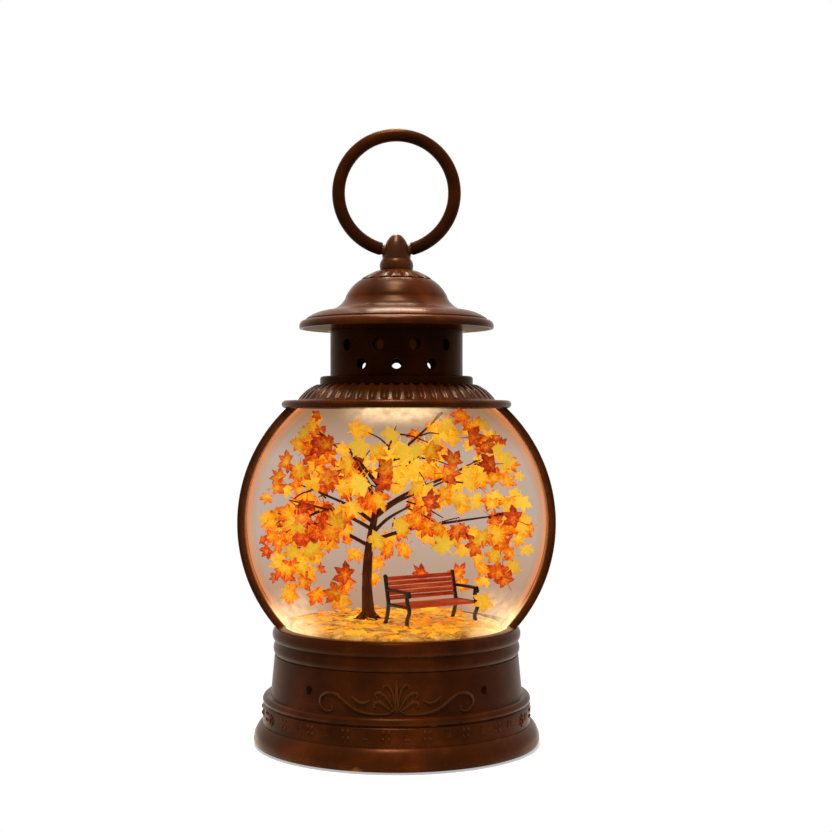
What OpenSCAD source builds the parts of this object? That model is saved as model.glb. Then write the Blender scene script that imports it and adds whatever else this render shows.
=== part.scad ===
// Lighted water globe in the shape of a lantern. A clear ball of water with a small autumn scene
// stands in a turned base. Two side straps hold it under a fluted shoulder, a vented chimney and a
// hooded cap with a swinging ring. Millimetres, +Z up, the front faces -Y, and the origin is on the
// floor under the centre.

/* [Globe] */
// Outer diameter of the clear ball
globe_d = 126.6; // [121:0.2:133]
// Wall of the ball, its neck and its flat crown
globe_wall = 2; // [1.5:0.1:2.5]
// Outer diameter of the neck that stands in the base
neck_d = 93; // [90:0.5:96]
// Length of the neck below the ball
neck_l = 9; // [8.8:0.1:10]
// Diameter of the flat crown under the shoulder
crown_d = 72.8; // [71:0.2:76]

/* [Side straps] */
// Thickness of a strap
strap_t = 3.2; // [2.6:0.1:4]
// Width of a strap, seen from the side
strap_w = 10; // [7:0.5:14]
// Rounding of the strap's outer edges
strap_edge = 0.8; // [0.3:0.1:1.2]
// Diameter of the pegs at the ends of a strap
peg_d = 2.4; // [1.8:0.1:2.6]
// Length of the peg in the base
peg_l = 4; // [2:0.5:5]

/* [Base] */
// Diameter of the foot, where the base is widest
foot_d = 120; // [117:0.5:128]
// Height of the foot
foot_h = 9.4; // [8:0.2:11]
// Diameter of the band above the foot
band_d = 112.4; // [110:0.2:115]
// Height of the band
band_h = 11.4; // [9:0.2:13]
// Radius of the bead along the band's upper edge
band_round = 1.9; // [1.2:0.1:2.4]
// Diameter of the skirt where it stands on the band
skirt_low_d = 105.6; // [104:0.2:107]
// Diameter of the skirt under the rings
skirt_top_d = 102.4; // [101:0.2:104]
// Height of the base up to the face that carries the straps
base_h = 49; // [44:0.2:54]
// Height of each of the two rings at the top of the base
ring_h = 5.8; // [5:0.1:7.4]
// How far the upper ring stands out past the straps
ring_edge = 0.9; // [0.5:0.1:2]
// How far each ring swells past its own edges
ring_swell = 1.0; // [0.4:0.1:1.4]
// Wall of the base shell
base_wall = 2.6; // [2:0.1:3]
// How far the rubber feet stand below the rim
feet_drop = 0.8; // [0.5:0.1:1.2]
// Diameter of a rubber foot
foot_pad_d = 9; // [6:0.5:10]

/* [Shoulder and chimney] */
// Height of the round lip under the flutes
lip_h = 3.3; // [2.8:0.1:4]
// How far the lip stands out past the straps
lip_edge = 2; // [1:0.1:3]
// How far the crown of the globe stands above the underside of the lip
crown_rise = 3.6; // [3:0.1:4.4]
// Width of the ledge between the lip and the flutes
flute_ledge = 6.6; // [5.6:0.1:7.4]
// Height of the fluted cone
shoulder_h = 6.6; // [6:0.1:9]
// How far the fluted cone swells past a straight one
flute_swell = 0.8; // [0.4:0.1:1.2]
// Wall of the shoulder
shoulder_wall = 2; // [1.6:0.1:2.4]
// Number of flutes
flute_count = 52; // [40:2:60]
// Radius of the cutter for one flute
flute_r = 1.7; // [1.4:0.1:2]
// Depth of a flute
flute_depth = 0.9; // [0.4:0.1:1.1]
// Diameter of the chimney
chimney_d = 55.8; // [53:0.2:58]
// Height of the chimney between its step and the cap
chimney_h = 18.9; // [17:0.1:24]
// Wall of the chimney
chimney_wall = 2.6; // [2:0.1:3]
// Diameter of the step under the chimney
step_d = 64.4; // [62:0.2:66]
// Height of the step
step_h = 3.5; // [2.5:0.1:5]
// Number of upper vent holes on the front, and again on the back
vent_count = 4; // [2:1:5]
// Angle between neighbouring vent holes
vent_pitch = 31; // [26:1:34]
// Diameter of an upper vent hole
vent_top_d = 4.8; // [3:0.1:5]
// Diameter of a lower vent hole
vent_low_d = 4.3; // [3:0.1:5]
// Height of the upper row above the step
vent_top_z = 12.6; // [11:0.1:13]
// Height of the lower row above the step
vent_low_z = 4.6; // [3.5:0.1:6]

/* [Cap, finial and ring] */
// Diameter of the brim
brim_d = 82; // [79:0.5:88]
// Height of the cap from the underside of the brim to its top
cap_h = 21.8; // [21:0.1:24]
// Wall of the cap
cap_wall = 2; // [1.6:0.1:2.4]
// How far the cap's spigot reaches below the upper vents
vent_cover = 0.7; // [0.3:0.1:1.2]
// Diameter of the scalloped skirt on the cap
scallop_d = 29.6; // [27:0.2:31]
// Height of the scalloped skirt
scallop_h = 4.5; // [3.5:0.1:6]
// Number of lobes round the scalloped skirt
scallop_count = 16; // [8:1:18]
// Diameter of the barrel neck above the scallops
barrel_d = 14.2; // [13.8:0.2:16]
// Height of the barrel neck
barrel_h = 4; // [3:0.1:6]
// Diameter of the finial
finial_d = 12; // [10.6:0.1:12.4]
// Height of the finial
finial_h = 11; // [10:0.1:13]
// Height of the ring's pivot above the foot of the finial
pivot_h = 3.8; // [3.5:0.1:4.5]
// Diameter of the stem under the finial
stem_d = 4.8; // [4:0.1:5.4]
// Outer diameter of the ring handle
ring_d = 54.4; // [46:0.2:62]
// Diameter of the ring's wire
ring_wire_d = 5.45; // [4.4:0.05:6]
// Diameter of the pins at the ring's ends
pin_d = 3; // [2.4:0.1:3.4]

/* [Scene] */
// Length of the bench
bench_l = 36; // [28:0.5:37]
// Depth of the bench's seat
seat_depth = 14.4; // [10:0.2:15]
// Height of the seat above the ground
seat_h = 9; // [8:0.2:12]
// Height of the bench's back above the ground
back_h = 19.6; // [18:0.2:24]
// Height of the arm rests above the ground
arm_h = 14.2; // [13:0.2:17]
// Thickness of the bench's cast ends
end_t = 1.5; // [1:0.1:2]
// Thickness of a slat
slat_t = 1; // [0.8:0.1:1.2]
// Distance from the middle of a leaf to its tip
leaf_r = 6; // [5:0.1:6.2]
// Thickness of a leaf
leaf_t = 0.5; // [0.4:0.05:0.8]
// Radius of the trunk above its roots
trunk_r = 2.5; // [1.8:0.1:3]
// Longest twig
twig_l = 17; // [12:0.5:18]
// Number of leaves that float in the water
drift_count = 62; // [20:1:62]

/* [Works] */
// Diameter of a battery cell
cell_d = 14.2; // [13.8:0.1:14.5]
// Length of a battery cell
cell_l = 50; // [49:0.1:50.5]
// Number of cells
cell_count = 3; // [2:1:3]
// Wall of the battery compartment
box_wall = 1.5; // [1.2:0.1:2]
// Thickness of the bottom plate
plate_t = 2; // [1.6:0.1:2.4]
// Diameter of the motor
motor_d = 24.4; // [20:0.2:25]
// Clearance of the motor over the battery compartment
motor_gap = 1.9; // [1:0.1:3]
// Diameter of the motor's shaft
shaft_d = 2; // [1.5:0.1:3]
// Diameter of the disc that carries the drive magnets
drive_d = 23; // [18:0.5:28]
// Thickness of the disc that carries the drive magnets
drive_t = 3; // [2.8:0.1:3.4]
// Diameter of the impeller
impeller_d = 24; // [18:0.5:32]
// Number of impeller blades
blade_count = 5; // [3:1:7]
// Number of lamps on the ring board
led_count = 8; // [4:1:12]
// Diameter of one lamp
led_d = 3.6; // [3:0.1:5]
// Height of one lamp above the board
led_h = 4; // [3:0.1:4.4]
// Travel of the switch knob
switch_travel = 5; // [3:0.5:6]
// Diameter of a screw's shank
screw_d = 2.1; // [1.6:0.1:2.4]

/* [Hidden] */
$fn = 72;

// Clearances: a loose fit, a running fit, and a close fit between fixed pieces
loose = 0.35;
running = 0.05;
close_fit = 0.1;
// A cutter reaches this far past the face that it opens
past = 1;

// Colours, as the photo shows them
bronze = [0.30, 0.13, 0.04];
dark_bronze = [0.20, 0.09, 0.03];
clear = [0.90, 0.86, 0.78, 0.3];
dark_plastic = [0.12, 0.12, 0.12];
pale_plastic = [0.85, 0.84, 0.80];
steel = [0.62, 0.62, 0.64];
bark = [0.25, 0.13, 0.06];
amber = [0.93, 0.55, 0.08];
slat_red = [0.62, 0.22, 0.08];
iron = [0.08, 0.07, 0.07];

// Radius of a ball of radius r at the height z
function ball_at(r, z) = sqrt(r * r - (z - globe_z) * (z - globe_z));
// Points of an arc about (x, z)
function arc(x, z, r, a0, a1, n = 8) =
    [for (i = [0:n]) [x + r * cos(a0 + (a1 - a0) * i / n), z + r * sin(a0 + (a1 - a0) * i / n)]];
// Arc that swells from the radius edge at z0 to edge + swell and back at z1
function swelling(edge, swell, z0, z1) =
    let (half = (z1 - z0) / 2, r = (half * half + swell * swell) / (2 * swell), a = asin(half / r))
    arc(edge + swell - r, (z0 + z1) / 2, r, -a, a, 6);
// A number between lo and hi that looks random and is always the same for the same seed
function chance(seed, lo, hi) =
    let (n = 43758.5453 * sin(78.233 * seed)) lo + (hi - lo) * (n - floor(n));

// Globe and straps
globe_r = globe_d / 2;
neck_r = neck_d / 2;
crown_r = crown_d / 2;
neck_in = neck_r - globe_wall;
ball_in = globe_r - globe_wall;
globe_z = base_h + sqrt(globe_r * globe_r - neck_r * neck_r);
neck_z = base_h - neck_l;
crown_z = globe_z + sqrt(globe_r * globe_r - crown_r * crown_r);
ceiling_z = crown_z - globe_wall;
hoop_in = globe_r + loose;
hoop_out = hoop_in + strap_t;
lip_z = crown_z - crown_rise;
strap_foot_in = ball_at(hoop_in, base_h);
strap_foot_out = ball_at(hoop_out, base_h);
strap_head_in = ball_at(hoop_in, lip_z);
strap_head_out = ball_at(hoop_out, lip_z);
peg_foot_x = (strap_foot_in + strap_foot_out) / 2;
peg_head_x = (strap_head_in + strap_head_out) / 2;
peg_head_l = lip_h * 0.6;

// Base
foot_r = foot_d / 2;
band_r = band_d / 2;
band_z = foot_h + band_h;
ring_z = base_h - 2 * ring_h;
ring_r = strap_foot_out + ring_edge;
groove_r = ring_r - ring_swell;
seat_r = neck_r + loose;
cavity_r = band_r - base_wall;
rim_z = feet_drop;
plate_z = rim_z + 1.4;
plate_top = plate_z + plate_t;
plate_ledge = 1.4;
plate_r = cavity_r + plate_ledge - loose;
flange_t = 1.6;
shelf_t = 2;
shelf_z = neck_z - flange_t;
shelf_in = neck_in - 1;
boss_r = 3.4;
boss_ring_r = cavity_r - boss_r + 0.5;
boss_h = 10;
boss_gap = 0.2;

// Stopper, ground and the pieces that turn under them
floor_t = 1.6;
floor_z = shelf_z + 2;
floor_top = floor_z + floor_t;
plug_r = neck_in - loose / 2;
plug_h = 4.6;
well_r = plug_r - 8;
seal_r = 0.8;
groove_depth = 1.2;
post_r = 1.8;
post_ring_r = well_r - 3;
ground_gap = 0.6;
ground_r = neck_in - ground_gap;
ground_z = base_h + 1.6;
ground_under = base_h - 2.6;
ground_flat_r = ground_r - 6;
impeller_pin_d = 1.6;
impeller_z = floor_top + 1;
impeller_h = ground_under - 0.5 - impeller_z;
disc_t = 1;
drive_top = floor_z - 0.6;
drive_z = drive_top - drive_t;
magnet_d = 6;
magnet_h = 2.2;
magnet_x = drive_d / 2 - magnet_d / 2 - 1.5;
motor_top = drive_z - 2.2;
motor_nose_d = 6;
motor_nose_h = 0.8;
shaft_z = motor_top - 4;

// Battery compartment, its door and what stands on it
cell_gap = 0.2;
cell_pitch = cell_d + cell_gap;
box_x = cell_count * cell_pitch / 2 + cell_gap;
contact_room = 3.6;
contact_t = 0.4;
box_y = cell_l / 2 + contact_room;
door_lip = 2.8;
door_lip_t = plate_t / 2;
door_tab_r = 4.5;
door_tab_y = box_y + door_lip + 2.4;
cell_z = plate_top + cell_gap + cell_d / 2;
box_top = plate_top + 2 * cell_gap + cell_d;
lid_top = box_top + box_wall;
post_gap_r = 20;
motor_z = lid_top + motor_gap;
motor_h = motor_top - motor_z;
ear_x = motor_d / 2 + 5;
ear_t = 1.6;
ear_r = 3;
ear_boss_h = 4.8;
bracket_wall = 1.6;
board_t = 1.4;
board_top = floor_z - led_h - 0.4;
board_z = board_top - board_t;
board_in = motor_d / 2 + 4.8;
board_out = shelf_in - 1.6;
led_ring_r = board_out - led_d / 2 - 0.6;
head_d = 2 * screw_d + 0.4;
head_h = 1.1;
pad_ring_r = 46.5;
switch_y = -(box_y + box_wall + 9);
knob_x = 5;
knob_y = 2.8;
slider_x = 7;
slider_y = 4.4;
slider_z = plate_top + 0.4;
slider_h = 1.2;
switch_x = slider_x + switch_travel + 3;
switch_depth = slider_y + 2.4;
switch_h = 6;

// Shoulder, chimney and cap
lip_r = strap_head_out + lip_edge;
lip_in = ball_at(globe_r, lip_z) + loose;
lip_top = lip_z + lip_h;
flute_low_r = lip_r - flute_ledge;
shoulder_top = lip_top + shoulder_h;
step_r = step_d / 2;
flute_top_r = step_r + 1.6;
flute_run = flute_low_r - flute_top_r;
flute_chord = sqrt(flute_run * flute_run + shoulder_h * shoulder_h);
flute_arc = (flute_chord * flute_chord / 4 + flute_swell * flute_swell) / (2 * flute_swell);
flute_x = (flute_low_r + flute_top_r) / 2 - (flute_arc - flute_swell) * shoulder_h / flute_chord;
flute_z = lip_top + shoulder_h / 2 - (flute_arc - flute_swell) * flute_run / flute_chord;
flute_from = atan2(lip_top - flute_z, flute_low_r - flute_x);
flute_to = atan2(shoulder_top - flute_z, flute_top_r - flute_x);
cone_thick = shoulder_wall * sqrt(1 + flute_run * flute_run / (shoulder_h * shoulder_h));
deck_t = 2.2;
deck_z = shoulder_top - deck_t;
deck_r = flute_top_r + flute_run * deck_t / shoulder_h - cone_thick;
chimney_r = chimney_d / 2;
bore_r = chimney_r - chimney_wall;
spigot_r = chimney_r - 0.5;
step_top = shoulder_top + step_h;
cap_z = step_top + chimney_h;
cap_top = cap_z + cap_h;
brim_r = brim_d / 2;
cap_spigot = chimney_h - vent_top_z + vent_top_d / 2 + vent_cover;
lip_roll = 2.5;
lip_low = 1.1;
lip_mid = 2.2;
brim_arc = 17.45;
brim_x = brim_r - 13.29;
brim_mid = -8.62;
bell_hollow = 9.8;
bell_x = brim_r - 10.7;
bell_z = cap_h - 3.3;
bell_crown = 15.9;
crown_x = brim_r - 34.1;
crown_mid = cap_h - 13.6;
scallop_top = cap_top + scallop_h;
barrel_top = scallop_top + barrel_h;
pivot_z = barrel_top + pivot_h;
ring_mid_r = (ring_d - ring_wire_d) / 2;
ring_z_mid = pivot_z + ring_mid_r;
ring_gap = finial_d / 2 + loose;
nut_h = 2.8;

// Scene
bench_x = 15;
bench_y = -8;
bench_turn = 34;
tree_x = -12;
tree_y = 5;
glass_gap = 1.65 * leaf_r + 1;
ceiling_gap = 3;
drift_gap = 2;
finial_taper = 1.8;

// Top: the ring, the finial, the collar and the cap

module ring_handle() color(dark_bronze) translate([0, 0, pivot_z]) {
    translate([0, 0, ring_mid_r]) difference() {
        rotate([90, 0, 0]) rotate_extrude() translate([ring_mid_r, 0]) circle(d = ring_wire_d);
        translate([-ring_gap, -ring_wire_d, -ring_d]) cube([2 * ring_gap, 2 * ring_wire_d, ring_d]);
    }
    for (side = [-1, 1]) rotate([0, side * 90, 0]) translate([0, 0, pin_d / 2])
        cylinder(d = pin_d, h = ring_gap + past - pin_d / 2);
}

module finial() color(bronze) translate([0, 0, barrel_top]) difference() {
    union() {
        rotate_extrude() polygon(concat([[0, 0]], finial_nose()));
        translate([0, 0, pivot_h]) rotate([0, 90, 0]) cylinder(d = ring_wire_d, h = finial_d, center = true);
        translate([0, 0, -finial_stem()]) cylinder(d = stem_d, h = finial_stem() + past);
    }
    translate([0, 0, pivot_h]) rotate([0, 90, 0])
        cylinder(d = pin_d + 2 * running, h = 2 * finial_d, center = true);
}

// Blunt nose from the finial's foot to its tip
function finial_nose() = [for (i = [0:12]) let (t = sin(7.5 * i))
    [finial_d / 2 * sqrt(max(1 - pow(t, finial_taper), 0)), finial_h * t]];
// The stem goes through the collar and the cap's top, and on through the nut
function finial_stem() = barrel_top - cap_top + cap_wall + nut_h + 0.8;

module finial_nut() color(steel) translate([0, 0, cap_top - cap_wall - nut_h]) difference() {
    cylinder(d = 2 * stem_d, h = nut_h, $fn = 6);
    translate([0, 0, -past]) cylinder(d = stem_d + 2 * running, h = nut_h + 2 * past);
}

module scallop_collar() color(bronze) translate([0, 0, cap_top]) difference() {
    rotate_extrude() polygon(concat([[stem_d / 2 + close_fit, 0], [scallop_d / 2 - 0.4, 0],
        [scallop_d / 2, 0.5], [barrel_d / 2 + 2.6, scallop_h - 1.2], [barrel_d / 2 - 0.5, scallop_h - 0.15]],
        arc(barrel_d / 2 - 1.1 * barrel_h, scallop_h + 0.35 * barrel_h, 1.1 * barrel_h, -18.6, 36.2),
        [[stem_d / 2 + close_fit, scallop_h + barrel_h]]));
    for (i = [0:scallop_count - 1]) rotate((i + 0.5) * 360 / scallop_count)
        translate([scallop_d / 2 + 0.5, 0, 0.6]) rotate([0, -scallop_slope(), 0])
            cylinder(r = 0.95, h = 2.2 * scallop_h);
}

function scallop_slope() = atan2(scallop_d / 2 - barrel_d / 2 - 2.6, scallop_h - 1.7);

// Outside of the hood: the rolled lip, a groove, the brim, the hollow of the bell and its crown
function hood() = concat(arc(brim_r - lip_roll, lip_mid, lip_roll, -26, 80),
    [[brim_r - lip_roll - 0.15, lip_mid + lip_roll - 0.25]], arc(brim_x, brim_mid, brim_arc, 53.5, 84.3),
    arc(bell_x, bell_z, bell_hollow, 265, 207), arc(crown_x, crown_mid, bell_crown, 24.5, 57.4));
// Inside of the bell, one wall further in, from the crown down to the spigot
function hood_inside() = concat(arc(crown_x, crown_mid, bell_crown - cap_wall, 54, 26),
    arc(bell_x, bell_z, bell_hollow + cap_wall, 209, 232));

module cap() color(bronze) translate([0, 0, cap_z]) rotate_extrude() polygon(concat(
    [[bore_r - close_fit, -cap_spigot], [bore_r - close_fit, 0], [chimney_r + 1, 0],
        [brim_r - 1.6, lip_low]],
    hood(),
    [[scallop_d / 2 - 0.4, cap_h], [stem_d / 2 + close_fit, cap_h],
        [stem_d / 2 + close_fit, cap_h - cap_wall], [2.2 * stem_d, cap_h - cap_wall]],
    hood_inside(),
    [[bore_r - close_fit - cap_wall, cap_h - 13], [bore_r - close_fit - cap_wall, -cap_spigot]]));

// Chimney and shoulder

module chimney() color(dark_bronze) difference() {
    rotate_extrude() polygon(concat([[0, deck_z], [spigot_r - close_fit, deck_z],
        [spigot_r - close_fit, shoulder_top], [step_r, shoulder_top]],
        arc(step_r - 1, step_top - 1, 1, 0, 90, 4),
        [[chimney_r, step_top], [chimney_r, cap_z], [bore_r, cap_z], [bore_r, deck_z + floor_t],
            [0, deck_z + floor_t]]));
    for (face = [0, 180]) {
        vents(face, vent_count, vent_top_z, vent_top_d);
        vents(face, vent_count - 1, vent_low_z, vent_low_d);
    }
}

// One row of vent holes about the middle of a face
module vents(face, count, height, d) for (i = [0:count - 1])
    rotate(face - 90 + (i - (count - 1) / 2) * vent_pitch) translate([bore_r - past, 0, step_top + height])
        rotate([0, 90, 0]) cylinder(d = d, h = chimney_wall + 2 * past, $fn = 32);

module shoulder() color(bronze) difference() {
    rotate_extrude() polygon(concat([[lip_in, lip_z]],
        arc(lip_r - lip_h / 2, lip_z + lip_h / 2, lip_h / 2, -90, 90),
        arc(flute_x, flute_z, flute_arc, flute_from, flute_to),
        [[spigot_r, shoulder_top], [spigot_r, deck_z], [deck_r, deck_z], [flute_low_r - cone_thick, lip_top],
            [lip_in, lip_top - lip_h / 2]]));
    for (i = [0:flute_count - 1]) rotate(i * 360 / flute_count) flute();
    for (side = [-1, 1]) translate([side * peg_head_x, 0, lip_z - past])
        cylinder(d = peg_d + 2 * close_fit, h = peg_head_l + loose + past);
}

// Round cutter that follows the swelling cone and stops short of the ledge
module flute() translate([flute_x, 0, flute_z]) rotate([90, 0, 0]) rotate(flute_from + 2)
    rotate_extrude(angle = flute_to - flute_from + 16) translate([flute_arc + flute_r - flute_depth, 0])
        circle(flute_r, $fn = 24);

module globe_pad() color(dark_plastic) translate([0, 0, crown_z]) difference() {
    cylinder(r = deck_r - loose, h = deck_z - crown_z);
    translate([0, 0, -past]) cylinder(r = spigot_r - 3, h = deck_z - crown_z + 2 * past);
}

// Globe and straps

// Half section of a ball of radius r that ends at the height top, with the neck that it stands on
module half_ball(r, top, neck, foot) {
    intersection() {
        translate([0, globe_z]) circle(r);
        translate([0, foot]) square([globe_d, top - foot]);
    }
    translate([0, foot]) square([neck, globe_z - foot]);
}

module globe() color(clear) rotate_extrude() difference() {
    half_ball(globe_r, crown_z, neck_r, neck_z);
    half_ball(ball_in, ceiling_z, neck_in, neck_z - past);
}

module strap() {
    intersection() {
        translate([0, 0, globe_z]) rotate([90, 0, 0]) rotate_extrude() polygon([
            [hoop_in, -strap_w / 2], [hoop_out - strap_edge, -strap_w / 2],
            [hoop_out, -strap_w / 2 + strap_edge], [hoop_out, strap_w / 2 - strap_edge],
            [hoop_out - strap_edge, strap_w / 2], [hoop_in, strap_w / 2]]);
        translate([0, -strap_w, base_h]) cube([globe_d, 2 * strap_w, lip_z - base_h]);
    }
    translate([peg_foot_x, 0, base_h - peg_l]) cylinder(d = peg_d, h = peg_l + 0.5);
    translate([peg_head_x, 0, lip_z - 0.5]) cylinder(d = peg_d, h = peg_head_l + 0.5);
}

module strap_right() color(bronze) strap();

module strap_left() color(bronze) rotate(180) strap();

// Base

// Quarter-round of the foot, from its widest line in to the band
function foot_round() =
    let (low = rim_z + 1.6, rise = foot_h - low, in = foot_r - band_r - 0.6,
        r = (in * in + rise * rise) / (2 * in))
    arc(foot_r - r, low, r, 0, asin(rise / r));

module base_shell() color(bronze) difference() {
    union() {
        rotate_extrude() polygon(concat([[foot_r - 0.6, rim_z]], foot_round(),
            [[band_r, foot_h], [band_r, band_z - 2 * band_round - 0.4]],
            arc(band_r - band_round, band_z - band_round, band_round, -60, 90),
            [[skirt_low_d / 2, band_z], [skirt_top_d / 2, ring_z]],
            swelling(groove_r - 0.4, ring_swell, ring_z, ring_z + ring_h - 0.2),
            swelling(groove_r, ring_swell, ring_z + ring_h, base_h - 0.5),
            [[groove_r - 0.5, base_h], [seat_r, base_h], [seat_r, shelf_z], [shelf_in, shelf_z],
                [shelf_in, shelf_z - shelf_t], [skirt_top_d / 2 - base_wall, shelf_z - shelf_t - 1],
                [skirt_low_d / 2 - base_wall, band_z], [cavity_r, band_z - base_wall],
                [cavity_r, plate_top], [cavity_r + plate_ledge, plate_top],
                [cavity_r + plate_ledge, rim_z]]));
        plate_bosses() translate([0, 0, boss_gap]) cylinder(r = boss_r, h = boss_h - boss_gap);
    }
    plate_bosses() translate([0, 0, -past]) cylinder(d = screw_d + close_fit, h = boss_h - 1 + past);
    for (side = [-1, 1]) translate([side * peg_foot_x, 0, base_h - peg_l - loose])
        cylinder(d = peg_d + 2 * close_fit, h = peg_l + loose + past);
}

// Places of the four screws that hold the bottom plate
module plate_bosses() for (i = [0:3]) rotate(45 + i * 90) translate([boss_ring_r, 0, plate_top]) children();

// Stopper, ground and impeller

module globe_stopper() color(clear) {
    difference() {
        rotate_extrude() polygon([[shelf_in - 1, shelf_z], [neck_r, shelf_z], [neck_r, neck_z],
            [plug_r, neck_z], [plug_r, neck_z + plug_h], [well_r, neck_z + plug_h],
            [well_r, floor_top], [impeller_pin_d, floor_top], [impeller_pin_d, impeller_z - 0.2],
            [0, impeller_z - 0.2], [0, floor_z], [shelf_in - 1, floor_z]]);
        translate([0, 0, seal_z()]) rotate_extrude() translate([plug_r - groove_depth, -seal_r])
            square([2 * groove_depth, 2 * seal_r]);
        translate([0, 0, floor_z + 0.6]) cylinder(d = impeller_pin_d + close_fit / 2, h = impeller_h);
    }
    for (i = [0:2]) rotate(30 + i * 120) translate([post_ring_r, 0, floor_z + floor_t / 2])
        cylinder(r = post_r, h = ground_under - floor_z - floor_t / 2);
}

function seal_z() = neck_z + plug_h - 1.6;

module stopper_seal() color(dark_plastic) translate([0, 0, seal_z()]) rotate_extrude()
    translate([neck_in - seal_r + close_fit, 0]) circle(r = seal_r - 2 * close_fit);

module ground() color(amber) rotate_extrude() polygon(concat([[0, ground_under], [ground_r, ground_under]],
    [for (i = [0:6]) [ground_r - (ground_r - ground_flat_r) * i / 6,
        base_h + (ground_z - base_h) * sin(15 * i)]], [[0, ground_z]]));

module impeller() color(pale_plastic) translate([0, 0, impeller_z]) difference() {
    union() {
        cylinder(d = impeller_d * 0.8, h = disc_t);
        cylinder(d = 6, h = impeller_h);
        for (i = [0:blade_count - 1]) rotate(i * 360 / blade_count) linear_extrude(impeller_h)
            polygon(concat(arc(0, impeller_d / 4, impeller_d / 4 + 0.4, -75, 60, 8),
                arc(0, impeller_d / 4, impeller_d / 4 - 0.4, 60, -75, 8)));
    }
    translate([0, 0, -past]) cylinder(d = impeller_pin_d + 2 * running, h = impeller_h + 2 * past);
}

module impeller_pin() color(steel) translate([0, 0, floor_z + 0.6])
    cylinder(d = impeller_pin_d, h = impeller_z + impeller_h - floor_z - 0.4);

// Scene

// Half outline of a maple leaf as [share of leaf_r, angle], from its stalk round to its tip
leaf_half = [[0.95, -88], [0.38, -72], [0.74, -26], [0.52, 2], [1, 37], [0.52, 62]];

module leaf() translate([0, 0.95 * leaf_r, 0]) linear_extrude(leaf_t, center = true) polygon(concat(
    [for (p = leaf_half) leaf_r * p[0] * [cos(p[1]), sin(p[1])]], [[0, leaf_r]],
    [for (i = [len(leaf_half) - 1:-1:0]) let (p = leaf_half[i]) leaf_r * p[0] * [-cos(p[1]), sin(p[1])]]));

// Leaf that hangs from the point p and mostly faces the front or the back
module hung_leaf(p, seed) translate(p)
    rotate([90 + chance(seed, -35, 35), 0, chance(seed + 1, -55, 55) + (seed % 2 == 0 ? 0 : 180)])
        rotate(180 + chance(seed + 2, -60, 60)) leaf();

// Points up the middle of the trunk, from the ground to its top twig
trunk = [for (p = [[0, 0, 0], [-0.6, 0, 16], [0.4, 0, 31], [2.6, 0, 43], [4, 0, 56], [6, 0, 72]])
    [tree_x + p[0], tree_y + p[1], ground_z + p[2]]];
// Branches: height above the ground, compass angle from +X, and angle of rise
branches = [[31, 186, 20], [33, -22, 12], [36, 60, 16], [38, -140, 18], [41, 150, 22], [43, -52, 20],
    [45, 16, 24], [48, -104, 32], [50, 112, 32], [52, 44, 34], [55, -76, 40], [57, 190, 42], [60, -20, 44]];

function heading(turn, rise) = [cos(turn) * cos(rise), sin(turn) * cos(rise), sin(rise)];
// How far a twig can grow from p along d before its leaves would touch the glass or the ceiling
function room(p, d) =
    let (o = p - [0, 0, globe_z], b = o * d, c = o * o - pow(ball_in - glass_gap, 2))
    min(-b + sqrt(max(b * b - c, 0)), d[2] > 0.05 ? (ceiling_z - ceiling_gap - p[2]) / d[2] : ball_in);
// Middle of the trunk at a height above the ground
function trunk_at(h) =
    let (z = ground_z + h, i = [for (k = [0:len(trunk) - 2]) if (trunk[k + 1][2] >= z) k][0],
        share = (z - trunk[i][2]) / (trunk[i + 1][2] - trunk[i][2]))
    trunk[i] + share * (trunk[i + 1] - trunk[i]);
function branch_start(b) = trunk_at(branches[b][0]);
function branch_way(b) = heading(branches[b][1], branches[b][2]);
function branch_at(b, share) =
    let (from = branch_start(b), way = branch_way(b)) from + share * room(from, way) * way;
// Three twigs leave each branch, to one side and then to the other
twig_shares = [0.4, 0.65, 0.85];
function twig_way(b, k) =
    heading(branches[b][1] + (k % 2 == 0 ? 1 : -1) * chance(9 * b + k, 34, 52),
        branches[b][2] + chance(7 * b + k + 50, -58, 14));
function twig_start(b, k) = branch_at(b, twig_shares[k]);
function twig_at(b, k, share) = twig_start(b, k)
    + share * min(twig_l, room(twig_start(b, k), twig_way(b, k))) * twig_way(b, k);

module limb(from, to, r0, r1, sides = 6) hull() {
    translate(from) sphere(r0, $fn = sides);
    translate(to) sphere(r1, $fn = sides);
}

module tree_trunk() color(bark) {
    hull() {
        translate(trunk[0]) cylinder(r = 1.8 * trunk_r, h = 0.4, $fn = 12);
        translate(trunk[0] + [0, 0, 2 * trunk_r]) sphere(trunk_r, $fn = 12);
    }
    limb(trunk[0] + [0, 0, 2 * trunk_r], trunk[1], trunk_r, 0.85 * trunk_r, 12);
    for (i = [1:len(trunk) - 2])
        limb(trunk[i], trunk[i + 1], trunk_r * (1 - 0.15 * i), trunk_r * (0.85 - 0.15 * i), 12);
    for (b = [0:len(branches) - 1]) {
        limb(branch_start(b), branch_at(b, 0.5), 0.34 * trunk_r, 0.24 * trunk_r);
        limb(branch_at(b, 0.5), branch_at(b, 1), 0.24 * trunk_r, 0.13 * trunk_r);
        for (k = [0:len(twig_shares) - 1])
            limb(twig_start(b, k), twig_at(b, k, 1), 0.17 * trunk_r, 0.11 * trunk_r);
    }
}

module tree_leaves() color(amber) for (b = [0:len(branches) - 1]) {
    hung_leaf(branch_at(b, 1), 1000 + 31 * b);
    for (k = [0:len(twig_shares) - 1], s = [0.2, 0.45, 0.75, 1])
        hung_leaf(twig_at(b, k, s), 100 * b + 10 * k + round(7 * s));
}

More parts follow.
